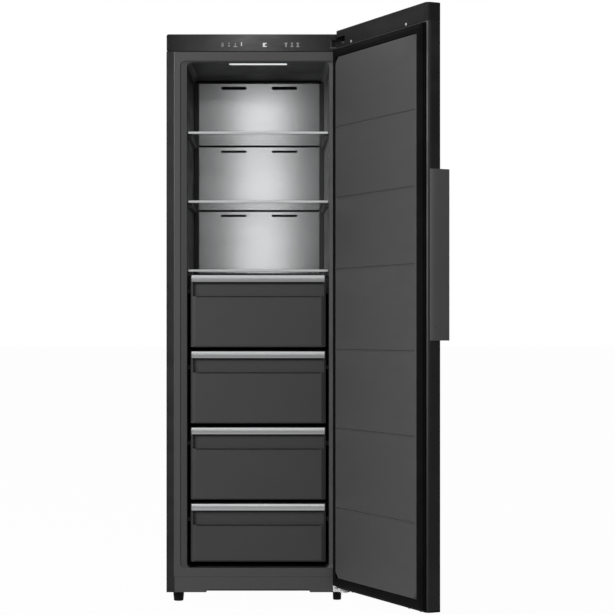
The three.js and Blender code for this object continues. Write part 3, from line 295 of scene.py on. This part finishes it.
# %% Soft edges: sheet and mouldings never end in a knife edge
soft_edge, entry, leave = effect("soft_edge", [("Radius mm", 1.0)],
                                 [("Normal", "NodeSocketVector"), ("Edge", "NodeSocketFloat")])
radius = put(soft_edge, "ShaderNodeMath", {0: entry.outputs["Radius mm"], 1: 1000.0}, operation="DIVIDE")
rounded = put(soft_edge, "ShaderNodeBevel", {"Radius": radius.outputs[0]}, samples=6)
facing = put(soft_edge, "ShaderNodeNewGeometry")
likeness = put(soft_edge, "ShaderNodeVectorMath", {0: rounded.outputs[0], 1: facing.outputs["Normal"]},
               operation="DOT_PRODUCT")
soft_edge.links.new(rounded.outputs[0], leave.inputs["Normal"])
soft_edge.links.new(ramp(soft_edge, likeness.outputs["Value"], 0.995, 0.9), leave.inputs["Edge"])
print("group", soft_edge.name)

# %% Wiped film: the faint cloudy film that a damp cloth leaves
film, entry, leave = effect("wiped_film", [("Amount", 0.5)], [("Mask", "NodeSocketFloat")])
place = put(film, "ShaderNodeTexCoord")
sweep = put(film, "ShaderNodeMapping", {"Vector": place.outputs["Object"], "Rotation": (0.3, 0.5, 0.2),
                                        "Scale": (2.0, 2.0, 5.0)})
veil = put(film, "ShaderNodeTexNoise", {"Vector": sweep.outputs[0], "Scale": 2.2, "Detail": 5.0,
                                        "Distortion": 0.6})
wiped = ramp(film, veil.outputs["Fac"], 0.42, 0.68)
amount = put(film, "ShaderNodeMath", {0: wiped, 1: entry.outputs["Amount"]}, operation="MULTIPLY")
film.links.new(amount.outputs[0], leave.inputs["Mask"])
print("group", film.name)

# %% Zinc spangle: the crystal flakes on galvanised sheet
spangle, entry, leave = effect("zinc_spangle", [("Flake mm", 9.0)], [("Shade", "NodeSocketFloat")])
place = put(spangle, "ShaderNodeTexCoord")
flakes = put(spangle, "ShaderNodeMath", {0: 1000.0, 1: entry.outputs["Flake mm"]}, operation="DIVIDE")
cells = put(spangle, "ShaderNodeTexVoronoi", {"Vector": place.outputs["Object"], "Scale": flakes.outputs[0]})
grey = put(spangle, "ShaderNodeSeparateColor", {0: cells.outputs["Color"]})
spangle.links.new(grey.outputs[0], leave.inputs["Shade"])
print("group", spangle.name)

# %% [markdown]
# ## Finishes
# Plastics, paint and metal differ in colour, in how sharply they mirror and in how their
# surface is broken up. One recipe covers the grainy finishes: a base colour that drifts a
# little from place to place, roughness that follows the wiped film, and a bump from the mould
# grain on top of slightly rounded edges. Metals get recipes of their own.


# %% The recipe for plastics, paint and rubber
def use(tree, group, **values):
    node = tree.nodes.new("ShaderNodeGroup")
    node.node_tree = group
    for key, value in values.items():
        node.inputs[key.replace("_", " ")].default_value = value
    return node


def blank(name):
    material = bpy.data.materials.new(name)
    material.use_nodes = True
    material.node_tree.nodes.clear()
    return material, material.node_tree


# How far in from the front, in metres, the painted shade inside a moulding fades in.
SHADE_FADE_IN = (0.006, 0.02)


def grainy(name, colour, edge_wear_or_highlight, roughness=0.5, grain_mm=0.8, bump=0.15, edge_mm=1.0, shine=0.3,
           drift=0.1, shade_deep_in=None):
    """Moulded plastic, powder coat or rubber. The second colour goes on rubbed edges, or is a painted
    highlight along them where it is far paler; the deep colour is a painted shade further in than the fade,
    where a moulding lies in deeper shade."""
    material, tree = blank(name)
    relief = use(tree, grain, Size_mm=grain_mm, Patchiness=drift)
    edges = use(tree, soft_edge, Radius_mm=edge_mm)
    wiped = use(tree, film, Amount=0.12)
    base = put(tree, "ShaderNodeHueSaturation", {"Color": tone(colour)})
    # Further in than the fade, the colour goes over to the deep one: painted shade inside the moulding.
    if shade_deep_in:
        inside = put(tree, "ShaderNodeSeparateXYZ",
                     {0: put(tree, "ShaderNodeTexCoord").outputs["Object"]})
        depth = ramp(tree, inside.outputs["Y"], *(FRONT_Y + reach_in for reach_in in SHADE_FADE_IN))
        painted_shade_mix = put(tree, "ShaderNodeMix", {0: depth, 6: tone(colour), 7: tone(shade_deep_in)}, data_type="RGBA")
        tree.links.new(painted_shade_mix.outputs[2], base.inputs["Color"])
    level = put(tree, "ShaderNodeMath", {0: relief.outputs["Patch"], 1: 1.0}, operation="ADD")
    tree.links.new(level.outputs[0], base.inputs["Value"])
    # Edges take the edge colour: rubbed wear, or a painted highlight where that colour is far paler.
    edge_wear_or_highlight_mask = put(tree, "ShaderNodeMath", {0: edges.outputs["Edge"], 1: 0.35}, operation="MULTIPLY")
    shade = put(tree, "ShaderNodeMix", {0: edge_wear_or_highlight_mask.outputs[0], 6: base.outputs[0], 7: tone(edge_wear_or_highlight)},
                data_type="RGBA")
    dullness = put(tree, "ShaderNodeMath", {0: wiped.outputs["Mask"], 1: roughness}, operation="ADD")
    bumps = put(tree, "ShaderNodeBump", {"Strength": bump, "Distance": 0.0002,
                                         "Height": relief.outputs["Height"],
                                         "Normal": edges.outputs["Normal"]})
    shader = put(tree, "ShaderNodeBsdfPrincipled", {
        "Base Color": shade.outputs[2], "Roughness": dullness.outputs[0],
        "Specular IOR Level": shine, "Normal": bumps.outputs[0]})
    put(tree, "ShaderNodeOutputMaterial", {"Surface": shader.outputs[0]})
    return material


def dress(material, *node_names):
    """Gives CAD nodes this finish."""
    for node_name in node_names:
        for slot in frame["nodes"][node_name].material_slots:
            slot.material = material
    print(material.name, "on", ", ".join(node_names))


# %% [markdown]
# The cabinet wrapper, the base and the door's skin are painted steel, nearly black. Paint on
# sheet has a fine orange peel and mirrors softly. The upper hinge is black too, with a painted
# highlight of near white along its edges, and the lower hinge is painted a pale grey.

# %% Painted steel
black_steel = grainy("black_painted_steel", "151516", "2c2c2d", roughness=0.33, grain_mm=1.2, bump=0.1,
                     shine=0.4)
base_steel = grainy("black_base_steel", "0a0a0b", "1c1c1d", roughness=0.6, shine=0.2)
# On the upper hinge the near-white edge colour is a painted highlight along its edges.
hinge_steel = grainy("black_hinge_steel", "18181a", "d0d0d1", roughness=0.4, edge_mm=1.4, grain_mm=0.5)
pale_paint = grainy("pale_hinge_paint", "f0f0f1", "f4f4f4", roughness=0.45, grain_mm=0.6, drift=0.05)
dress(black_steel, "outer_case", "door_outer_panel")
dress(base_steel, "cabinet_base")
dress(hinge_steel, "upper_hinge_bracket")
dress(pale_paint, "lower_hinge_bracket")

# %% [markdown]
# The liners are vacuum-formed grey plastic with a satin face. Inside the cabinet's liner the
# grey goes darker further in, a painted shade. The skirt below the opening is
# moulded in the same colour. Drawers are moulded a little darker.

# %% Grey mouldings
# The darker colour further in is painted shade.
liner_plastic = grainy("grey_liner_plastic", "474748", "5c5c5d", roughness=0.5, grain_mm=0.9, bump=0.1,
                       edge_mm=1.5, shade_deep_in="353536")
door_liner_plastic = grainy("door_liner_plastic", "474748", "5c5c5d", roughness=0.5, grain_mm=0.9,
                            bump=0.1, edge_mm=2.0)
drawer_plastic = grainy("drawer_plastic", "3d3d3e", "565657", roughness=0.45, grain_mm=0.7, bump=0.12,
                        edge_mm=1.2)
duct_plastic = grainy("duct_plastic", "3c3c3d", "505051", roughness=0.55, grain_mm=0.9)
dress(liner_plastic, "inner_liner", "toe_panel")
dress(door_liner_plastic, "door_liner")
dress(duct_plastic, "air_duct_cover")
for number in (1, 2, 3, 4):
    dress(drawer_plastic, f"drawer_{number}_bin", f"drawer_{number}_front")

# %% [markdown]
# Caps, feet, rollers and electrical parts are black plastic, the gasket and the gland are soft
# black rubber with hardly any shine.

# %% Black plastics and rubber
panel_plastic = grainy("panel_gloss_black", "0d0d0e", "303032", roughness=0.12, grain_mm=2.0, bump=0.04,
                       shine=0.5)
cap_plastic = grainy("cap_black_plastic", "121213", "202021", roughness=0.6, grain_mm=0.7, shine=0.2)
foot_plastic = grainy("foot_black_plastic", "070708", "161617", roughness=0.6, grain_mm=0.9, shine=0.15)
rubber = grainy("gasket_rubber", "060607", "101011", roughness=0.8, grain_mm=0.5, bump=0.08, shine=0.1)
dress(panel_plastic, "control_panel")
dress(cap_plastic, "door_top_cap", "door_bottom_cap")
dress(foot_plastic, "front_foot_left", "front_foot_right", "rear_roller_left", "rear_roller_right",
      "terminal_box", "fan_motor")
dress(rubber, "door_gasket", "cord_gland")

# %% [markdown]
# The compressor is enamelled black, glossier than the cabinet. Fan, shroud, bushes and drain
# tray are pale plastic.

# %% Enamel and pale plastic
enamel = grainy("compressor_enamel", "131314", "3b3b3c", roughness=0.25, grain_mm=2.5, bump=0.2, shine=0.5)
pale_plastic = grainy("pale_plastic", "d2d3d4", "e4e5e6", roughness=0.45, grain_mm=0.8, drift=0.06)
dress(enamel, "compressor")
dress(pale_plastic, "fan_shroud", "fan_wheel", "drain_tray", "door_upper_bush", "door_lower_bush")


# %% [markdown]
# Brushed metal mirrors light along its scratches far less than across them. The belt ran from
# left to right on the cooling plate, so a lamp in front of it is drawn out into an upright
# band. Anisotropy does that, and the streak mask breaks the band up as real lines do.

# %% Brushed and drawn metal
def brushed_metal(name, colour, roughness, anisotropy, line_mm=0.5, turn=0.0, streaks=0.1, bump=0.06,
                  film_amount=0.05, metal=1.0):
    material, tree = blank(name)
    lines = use(tree, brushed, Turn=turn, Line_mm=line_mm)
    edges = use(tree, soft_edge, Radius_mm=0.8)
    wiped = use(tree, film, Amount=film_amount)
    shift = put(tree, "ShaderNodeMath", {0: lines.outputs["Streak"], 1: streaks}, operation="MULTIPLY")
    level = put(tree, "ShaderNodeMath", {0: 1.0, 1: shift.outputs[0]}, operation="SUBTRACT")
    base = put(tree, "ShaderNodeHueSaturation", {"Color": tone(colour), "Value": level.outputs[0]})
    rough = put(tree, "ShaderNodeMath", {0: wiped.outputs["Mask"], 1: roughness}, operation="ADD")
    bumps = put(tree, "ShaderNodeBump", {"Strength": bump, "Distance": 0.0001,
                                         "Height": lines.outputs["Height"],
                                         "Normal": edges.outputs["Normal"]})
    tangent = put(tree, "ShaderNodeTangent", direction_type="RADIAL", axis="Z")
    shader = put(tree, "ShaderNodeBsdfPrincipled", {
        "Base Color": base.outputs[0], "Roughness": rough.outputs[0], "Metallic": metal,
        "Anisotropic": anisotropy, "Anisotropic Rotation": 0.0 if turn else 0.25,
        "Normal": bumps.outputs[0], "Tangent": tangent.outputs[0]})
    put(tree, "ShaderNodeOutputMaterial", {"Surface": shader.outputs[0]})
    return material


plate_steel = brushed_metal("cooling_plate_steel", "c2c3c4", 0.235, 1.0, streaks=0.06, bump=0.02,
                            film_amount=0.01)
grip_metal = brushed_metal("grip_aluminium", "cdcecf", 0.34, 0.4, line_mm=0.4, bump=0.02, film_amount=0.0)
trim_metal = brushed_metal("shelf_trim_aluminium", "d4d5d6", 0.3, 0.2, line_mm=0.4)
handle_metal = brushed_metal("handle_anthracite", "565657", 0.42, 0.3, line_mm=0.35, turn=math.radians(90),
                             metal=0.35)
fin_metal = brushed_metal("fin_aluminium", "bfc1c3", 0.4, 0.0)
dress(plate_steel, "cooling_plate")
dress(handle_metal, "door_handle")
dress(fin_metal, "evaporator_coil", "defrost_heater")
for number in (1, 2, 3, 4):
    dress(grip_metal, f"drawer_{number}_grip")
for number in (1, 2, 3):
    dress(trim_metal, f"shelf_{number}_front_trim")


# %% [markdown]
# Galvanised sheet shows grey flakes that each mirror a little differently. Copper pipe is
# warm, with darker tarnish in patches.

# %% Zinc and copper
def flaked(name, colour, darker, roughness, flake_mm):
    material, tree = blank(name)
    flakes = use(tree, spangle, Flake_mm=flake_mm)
    edges = use(tree, soft_edge, Radius_mm=0.6)
    shade = put(tree, "ShaderNodeMix", {0: flakes.outputs["Shade"], 6: tone(colour), 7: tone(darker)},
                data_type="RGBA")
    rough = ramp(tree, flakes.outputs["Shade"], 0.0, 1.0, roughness - 0.06, roughness + 0.08)
    shader = put(tree, "ShaderNodeBsdfPrincipled", {
        "Base Color": shade.outputs[2], "Roughness": rough, "Metallic": 1.0,
        "Normal": edges.outputs["Normal"]})
    put(tree, "ShaderNodeOutputMaterial", {"Surface": shader.outputs[0]})
    return material


zinc = flaked("galvanised_sheet", "b4b7b9", "a2a5a7", 0.42, 9.0)
copper = flaked("copper_pipe", "b9764b", "8d5536", 0.35, 14.0)
dress(zinc, "rear_panel", "compressor_tray", "roller_bracket_left", "roller_bracket_right")
dress(copper, "condenser_left", "condenser_right", "filter_dryer", "discharge_pipe", "suction_pipe")

# %% [markdown]
# Foam fills the walls. It never shows from outside, but a cut through the wall would show a
# dull mass of tiny bubbles, yellowish in the cabinet and greyer in the door.

# %% Foam
def foam(name, colour, darker):
    material, tree = blank(name)
    place = put(tree, "ShaderNodeTexCoord")
    bubbles = put(tree, "ShaderNodeTexVoronoi", {"Vector": place.outputs["Object"], "Scale": 260.0})
    shade = put(tree, "ShaderNodeMix", {0: bubbles.outputs["Distance"], 6: tone(colour),
                                        7: tone(darker)}, data_type="RGBA")
    bump = put(tree, "ShaderNodeBump", {"Strength": 0.5, "Distance": 0.001,
                                        "Height": bubbles.outputs["Distance"]})
    shader = put(tree, "ShaderNodeBsdfPrincipled", {
        "Base Color": shade.outputs[2], "Roughness": 0.9, "Normal": bump.outputs[0]})
    put(tree, "ShaderNodeOutputMaterial", {"Surface": shader.outputs[0]})
    return material


dress(foam("cabinet_foam", "a89c78", "85794f"), "insulation_foam")
dress(foam("door_foam_grey", "4a4842", "37352e"), "door_foam")

# %% [markdown]
# The shelves are toughened clear glass. Face on, a pane hardly shows. Seen along the pane it
# veils what lies behind it with a pale grey. The ceiling lamp's lens is milky and lit from
# behind.

# %% Glass and lamp lens
glass_finish, glass_tree = blank("shelf_glass")
glass_film = use(glass_tree, film, Amount=0.05)
glass_rough = put(glass_tree, "ShaderNodeMath", {0: glass_film.outputs["Mask"], 1: 0.3}, operation="ADD")
glass_slant = put(glass_tree, "ShaderNodeLayerWeight", {"Blend": 0.5})
glass_veil = ramp(glass_tree, glass_slant.outputs["Facing"], 0.5, 1.0, 0.03, 0.16)
glass_shader = put(glass_tree, "ShaderNodeBsdfPrincipled", {
    "Base Color": tone("c9cdcb"), "Roughness": glass_rough.outputs[0], "IOR": 1.45,
    "Specular IOR Level": 0.02, "Alpha": glass_veil})
put(glass_tree, "ShaderNodeOutputMaterial", {"Surface": glass_shader.outputs[0]})
for number in (1, 2, 3):
    dress(glass_finish, f"shelf_{number}_glass")

lens_finish, lens_tree = blank("lamp_lens")
lens_place = put(lens_tree, "ShaderNodeTexCoord")
lens_cloud = put(lens_tree, "ShaderNodeTexNoise", {"Vector": lens_place.outputs["Object"], "Scale": 60.0})
lens_shade = put(lens_tree, "ShaderNodeMix", {0: lens_cloud.outputs["Fac"], 6: (0.8, 0.8, 0.8, 1),
                                              7: (0.72, 0.76, 0.8, 1)}, data_type="RGBA")
lens_shader = put(lens_tree, "ShaderNodeBsdfPrincipled", {
    "Base Color": lens_shade.outputs[2], "Roughness": 0.3, "Emission Color": lens_shade.outputs[2],
    "Emission Strength": 0.7})
put(lens_tree, "ShaderNodeOutputMaterial", {"Surface": lens_shader.outputs[0]})
dress(lens_finish, "ceiling_light_lens")


# %% [markdown]
# ## Small pieces
# What is too small or too thin for the CAD is built here: dark strips, dark bars under the
# drawer recesses that are painted shadow lines, a lip, a pale rim that is a painted highlight, beads,
# screws, and the marks on the control strip. A helper turns a bmesh into a piece
# that rides on its body.

# %% Helpers for pieces
def finished(name, mesh_data, material, body):
    """Makes a piece of a bmesh whose places are already those of the frame."""
    bmesh.ops.recalc_face_normals(mesh_data, faces=mesh_data.faces)
    mesh = bpy.data.meshes.new(name)
    mesh_data.to_mesh(mesh)
    mesh_data.free()
    mesh.materials.append(material)
    piece = bpy.data.objects.new(name, mesh)
    bpy.context.scene.collection.objects.link(piece)
    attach(piece, body)
    print(name, "on", body, len(mesh.polygons), "faces")


def rounded_bar(mesh_data, low, high, bevel):
    """Adds a bar between two corners, in metres, with bevelled edges."""
    low, high = Vector(low), Vector(high)
    made = bmesh.ops.create_cube(mesh_data, size=1.0, matrix=Matrix.Translation((low + high) / 2)
                                 @ Matrix.Diagonal((*(high - low), 1)))
    edges = list({edge for vert in made["verts"] for edge in vert.link_edges})
    bmesh.ops.bevel(mesh_data, geom=edges, offset=bevel, segments=2, affect="EDGES", profile=0.5)


def turned_shape(mesh_data, profile, sides, place):
    """Adds a closed lathe shape: profile is (radius, height) in mm, from axis to axis."""
    rings = []
    for radius, height in profile:
        if radius == 0:
            rings.append([mesh_data.verts.new(place @ Vector((0, 0, height / 1000)))])
            continue
        rings.append([mesh_data.verts.new(place @ Vector((
            radius / 1000 * math.cos(2 * math.pi * k / sides),
            radius / 1000 * math.sin(2 * math.pi * k / sides), height / 1000))) for k in range(sides)])
    for lower, upper in zip(rings, rings[1:]):
        for k in range(sides):
            corners = [lower[k % len(lower)], lower[(k + 1) % len(lower)],
                       upper[(k + 1) % len(upper)], upper[k % len(upper)]]
            mesh_data.faces.new(list(dict.fromkeys(corners)))


def facing_out(point, direction):
    """A matrix that puts a shape at point, with its own Z along direction."""
    turn = Vector(direction).to_track_quat("Z", "Y").to_matrix().to_4x4()
    return Matrix.Translation(point) @ turn


screw_steel = flaked("screw_steel", "c9cacb", "a9abac", 0.3, 1.0)

# %% [markdown]
# Each pane sits in a thin dark strip along its back edge. Seen from the height of the camera
# it is the dark line between two fields of the metal plate.

# %% Back strips of the shelves
PANE_HALF = 208.7
for number in (1, 2, 3):
    pane_low, pane_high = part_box(f"shelf_{number}_glass")
    pane_top = pane_high.z * 1000
    strip = bmesh.new()
    rounded_bar(strip, on_cabinet(-PANE_HALF, 426.3, pane_top - 9.3),
                on_cabinet(PANE_HALF, 429.3, pane_top - 2.6), 0.0006)
    finished(f"shelf_{number}_back_strip", strip, base_steel, f"shelf_{number}")

# %% [markdown]
# A thin dark bar along the lower edge of each finger recess is a painted shadow line, where the
# step of the recess lies in shade. It stands 2.6 mm clear of the moulding, a fault that is still open.

# %% Painted shadow lines under the finger recesses
RECESS_HALF = 201
for number in (1, 2, 3, 4):
    drawer_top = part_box(f"drawer_{number}_front")[1].z * 1000
    joint_or_shadow_bar = bmesh.new()
    rounded_bar(joint_or_shadow_bar, on_cabinet(-RECESS_HALF, 16.7, drawer_top - 71.6),
                on_cabinet(RECESS_HALF, 17.4, drawer_top - 69.8), 0.0002)
    finished(f"drawer_{number}_recess_shadow_bar", joint_or_shadow_bar, base_steel, f"drawer_{number}")

# %% [markdown]
# Strips of the liner's plastic stand beside and over the cooling plate. The one over it hangs
# free, 1.3 mm from the plate, and a dark gap still shows round the plate: both are still open.

# %% Lip round the cooling plate
plate_low, plate_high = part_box("cooling_plate")
plate_side = (plate_high.x - plate_low.x) * 500
plate_foot, plate_head = plate_low.z * 1000, plate_high.z * 1000
LIP_FRONT, LIP_BACK, LIP_BEVEL = 426.8, 429.4, 0.0008
LIP_HALF = 7.6
lip = bmesh.new()
for x in (-plate_side - LIP_HALF - 1, plate_side + LIP_HALF + 1):
    rounded_bar(lip, on_cabinet(x - LIP_HALF, LIP_FRONT, plate_foot + 4),
                on_cabinet(x + LIP_HALF, LIP_BACK, plate_head + 1), LIP_BEVEL)
rounded_bar(lip, on_cabinet(-plate_side, LIP_FRONT, plate_head + 0.8),
            on_cabinet(plate_side, LIP_BACK, plate_head + 4), LIP_BEVEL)
# The liner's plastic gives the lip the painted shade of the inside too.
finished("plate_lip", lip, liner_plastic, "cabinet")
print("plate half width", round(plate_side, 1), "from", round(plate_foot, 1), "to", round(plate_head, 1))

# %% [markdown]
# The cut-out for the upper hinge has a pale rim along its left and lower edges: a painted highlight where
# those edges catch the light.

# %% Painted highlight on the rim of the hinge pocket
# A pale grey stands in for the light on the pocket's edges: a painted highlight.
painted_highlight_plastic = grainy("pocket_painted_highlight", "5a5a5b", "6e6e6f", roughness=0.4, grain_mm=0.5, edge_mm=0.4)
RIM_FRONT, RIM_BACK, RIM_BEVEL = -0.8, 0.2, 0.0003
rim = bmesh.new()
rounded_bar(rim, on_cabinet(235.6, RIM_FRONT, 1806), on_cabinet(237.4, RIM_BACK, 1824), RIM_BEVEL)
rounded_bar(rim, on_cabinet(233.4, RIM_FRONT, 1800.4), on_cabinet(257, RIM_BACK, 1803.4), RIM_BEVEL)
finished("hinge_pocket_highlight_rim", rim, painted_highlight_plastic, "cabinet")

# %% [markdown]
# A small round head catches the light inside that cut-out. It stands 4.2 mm clear of the hinge
# bracket and runs into the door's cap and bush, a fault that is still open.

# %% Head on the upper hinge
SMALL_DOME = [(0, 0), (3.4, 0), (3.2, 1.2), (2.2, 2.2), (0, 2.6)]
bracket_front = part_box("upper_hinge_bracket")[0].y
pin_screw = bmesh.new()
turned_shape(pin_screw, SMALL_DOME, 16,
             facing_out(Vector((PIN.x - 0.002, bracket_front - 0.0002, 1.8015)), (0, -1, 0)))
finished("hinge_pin_screw", pin_screw, screw_steel, "cabinet")

# %% [markdown]
# Between the steel wrapper's front fold and the liner's flange runs a thin half-round bead of
# the liner's plastic. It catches the key light as a fine upright line that fades downwards, and
# it stays behind the gasket's face when the door is shut.

# %% Edge beads of the front
bead_plastic = grainy("bead_plastic", "4c4c4d", "5c5c5d", roughness=0.28, grain_mm=0.6, bump=0.03,
                      edge_mm=0.3, shine=0.6)
BEAD_X, BEAD_HALF = 271.6, 1.9
BEAD_ROOT, BEAD_RISE = 0.9, 1.4
BEAD_ENDS = (85.2, 1788.6)
BEAD_STEPS = 10
for side, label in ((-1, "left"), (1, "right")):
    bead = bmesh.new()
    profile = [(side * (BEAD_X + BEAD_HALF * math.cos(a)), BEAD_ROOT - BEAD_RISE * math.sin(a))
               for a in (math.pi * k / BEAD_STEPS for k in range(BEAD_STEPS + 1))]
    ends = [[bead.verts.new(on_cabinet(x, y, z)) for x, y in profile] for z in BEAD_ENDS]
    count = len(profile)
    for k in range(count):
        bead.faces.new([ends[0][k], ends[0][(k + 1) % count], ends[1][(k + 1) % count], ends[1][k]])
    bead.faces.new(ends[0])
    bead.faces.new(ends[1])
    finished(f"edge_bead_{label}", bead, bead_plastic, "cabinet")

# %% [markdown]
# Two screws hold the door's top cap from inside, and a hexagon head holds the lower hinge. A
# small raised head with a round drive hole is enough at the size of the cap screws.

# %% Screws on the door and the hinge
HEAD = [(0, 0), (5.4, 0), (5.4, 0.6), (4.8, 1.5), (2.8, 2.1), (1.8, 2.1), (1.6, 0.9), (0, 0.9)]
HEX_HEAD = [(0, 0), (5.0, 0), (5.0, 3.2), (4.4, 3.8), (0, 3.8)]
door_inwards = SWING.to_3x3() @ Vector((0, 1, 0))
cap_screws = bmesh.new()
for x in (-174, 182):
    turned_shape(cap_screws, HEAD, 16, facing_out(on_door(x, -16.5, 1801), door_inwards))
finished("door_cap_screws", cap_screws, screw_steel, "door")

hinge_screws = bmesh.new()
turned_shape(hinge_screws, HEX_HEAD, 6, facing_out(on_cabinet(252.5, -4.8, 51), (0, -1, 0)))
finished("hinge_screws", hinge_screws, screw_steel, "cabinet")

# %% [markdown]
# The back sheet is screwed on all round at even steps. That is work for Geometry Nodes: a
# rectangle is resampled into points, and a head is set on each point. Width, height and the
# number of screws are inputs of the tree, so that the same tree fits another sheet.


# %% A Geometry Nodes tree that sets heads along a rectangle
def tree_inputs(tree, wanted):
    for label, kind, value in wanted:
        socket = tree.interface.new_socket(label, in_out="INPUT", socket_type=kind)
        if value is not None:
            socket.default_value = value


def identifier(tree, label):
    return next(item.identifier for item in tree.interface.items_tree
                if item.name == label and item.in_out == "INPUT")


heads_tree = bpy.data.node_groups.new("screws_round_a_sheet", "GeometryNodeTree")
tree_inputs(heads_tree, [("Geometry", "NodeSocketGeometry", None), ("Width", "NodeSocketFloat", 0.5),
                         ("Height", "NodeSocketFloat", 1.0), ("Count", "NodeSocketInt", 20),
                         ("Finish", "NodeSocketMaterial", None)])
heads_tree.interface.new_socket("Geometry", in_out="OUTPUT", socket_type="NodeSocketGeometry")
given = heads_tree.nodes.new("NodeGroupInput")
result = heads_tree.nodes.new("NodeGroupOutput")
outline = put(heads_tree, "GeometryNodeCurvePrimitiveQuadrilateral",
              {"Width": given.outputs["Width"], "Height": given.outputs["Height"]})
steps = put(heads_tree, "GeometryNodeResampleCurve",
            {"Curve": outline.outputs[0], "Count": given.outputs["Count"]})
setting = put(heads_tree, "GeometryNodeInstanceOnPoints",
              {"Points": steps.outputs[0], "Instance": given.outputs["Geometry"]})
real = put(heads_tree, "GeometryNodeRealizeInstances", {"Geometry": setting.outputs[0]})
painted = put(heads_tree, "GeometryNodeSetMaterial",
              {"Geometry": real.outputs[0], "Material": given.outputs["Finish"]})
heads_tree.links.new(painted.outputs[0], result.inputs["Geometry"])
print("tree", heads_tree.name)


# %% Bake the tree for the back sheet
def baked(name, source, tree, values, place, body):
    """Runs a tree on a mesh and keeps the plain result, moved to its place."""
    holder = bpy.data.objects.new(name, source)
    bpy.context.scene.collection.objects.link(holder)
    modifier = holder.modifiers.new("tree", "NODES")
    modifier.node_group = tree
    for label, value in values.items():
        modifier[identifier(tree, label)] = value
    evaluated = holder.evaluated_get(bpy.context.evaluated_depsgraph_get())
    plain = bpy.data.meshes.new_from_object(evaluated)
    holder.modifiers.clear()
    plain.transform(place)
    holder.data = plain
    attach(holder, body)
    print(name, "on", body, len(plain.polygons), "faces")


def head_mesh(profile, sides):
    shape = bmesh.new()
    turned_shape(shape, profile, sides, Matrix.Identity(4))
    bmesh.ops.recalc_face_normals(shape, faces=shape.faces)
    mesh = bpy.data.meshes.new("head")
    shape.to_mesh(mesh)
    shape.free()
    return mesh


sheet_low, sheet_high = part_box("rear_panel")
sheet_middle = (sheet_low + sheet_high) / 2
RIM_DEPTH = 0.0025
onto_back = (Matrix.Translation((sheet_middle.x, sheet_high.y - RIM_DEPTH, sheet_middle.z))
             @ Matrix.Rotation(math.radians(-90), 4, "X"))
SMALL_HEAD = [(0, 0), (3.6, 0), (3.4, 0.9), (2.4, 1.7), (1.2, 2.0), (1.0, 1.0), (0, 1.0)]
baked("back_sheet_screws", head_mesh(SMALL_HEAD, 12), heads_tree,
      {"Width": (sheet_high.x - sheet_low.x) - 0.016, "Height": (sheet_high.z - sheet_low.z) - 0.02,
       "Count": 26, "Finish": screw_steel}, onto_back, "cabinet")

# %% [markdown]
# The dark strip over the opening carries faint touch marks: a group at the left, a small
# display in the middle and a group at the right. They are plain generic shapes, printed in
# grey, so each is a thin plate that lies just proud of the strip. The ink also glows faintly,
# a painted glow with no lamp behind it.

# %% Marks on the control strip
def print_ink_with_painted_glow(name, colour, paler):
    ink, ink_tree = blank(name)
    ink_place = put(ink_tree, "ShaderNodeTexCoord")
    ink_cloud = put(ink_tree, "ShaderNodeTexNoise", {"Vector": ink_place.outputs["Object"],
                                                     "Scale": 700.0})
    ink_shade = put(ink_tree, "ShaderNodeMix", {0: ink_cloud.outputs["Fac"], 6: tone(colour),
                                                7: tone(paler)}, data_type="RGBA")
    # The emission is a painted glow on the print.
    ink_shader = put(ink_tree, "ShaderNodeBsdfPrincipled", {
        "Base Color": ink_shade.outputs[2], "Roughness": 0.5, "Emission Color": ink_shade.outputs[2],
        "Emission Strength": 0.25})
    put(ink_tree, "ShaderNodeOutputMaterial", {"Surface": ink_shader.outputs[0]})
    return ink


faint_ink = print_ink_with_painted_glow("panel_print_faint", "7c7c7d", "8c8c8d")
clear_ink = print_ink_with_painted_glow("panel_print_clear", "c4c4c5", "d6d6d7")


def mark(mesh_data, x, z, width, height):
    rounded_bar(mesh_data, on_cabinet(x - width / 2, -0.35, z - height / 2),
                on_cabinet(x + width / 2, -0.05, z + height / 2), 0.0001)


def marks_piece(name, bars, ink):
    """One piece of bars, each (x, z, width, height) in mm on the strip."""
    shape = bmesh.new()
    for bar in bars:
        mark(shape, *bar)
    finished(name, shape, ink, "cabinet")


FAINT_BARS = (
    (-115.4, 1817.0, 5.5, 2.0), (-113.2, 1812.0, 2.0, 9.0), (-117.6, 1812.0, 2.0, 9.0),
    (-115.4, 1807.4, 5.5, 3.4), (-94.5, 1816.5, 5.0, 3.5), (-94.5, 1808.5, 6.5, 4.5),
    (-74.0, 1812.5, 2.6, 11.0), (-74.0, 1805.8, 13.0, 2.6), (-54.0, 1808.6, 7.5, 2.2),
    (90.5, 1817.0, 9.5, 3.6), (90.5, 1810.0, 4.5, 10.4), (110.0, 1817.5, 8.0, 2.4),
    (110.0, 1812.0, 3.2, 8.6), (110.0, 1806.5, 9.0, 3.0), (128.5, 1817.2, 9.5, 3.2),
    (128.5, 1811.8, 3.4, 8.0), (128.5, 1806.3, 9.5, 3.2))
CLEAR_BARS = ((-54.0, 1815.0, 3.2, 9.6), (18.8, 1811.6, 6.6, 13.0), (25.0, 1816.6, 6.0, 3.0),
              (25.0, 1806.6, 6.0, 3.0))
marks_piece("panel_marks", FAINT_BARS, faint_ink)
marks_piece("panel_display", CLEAR_BARS, clear_ink)
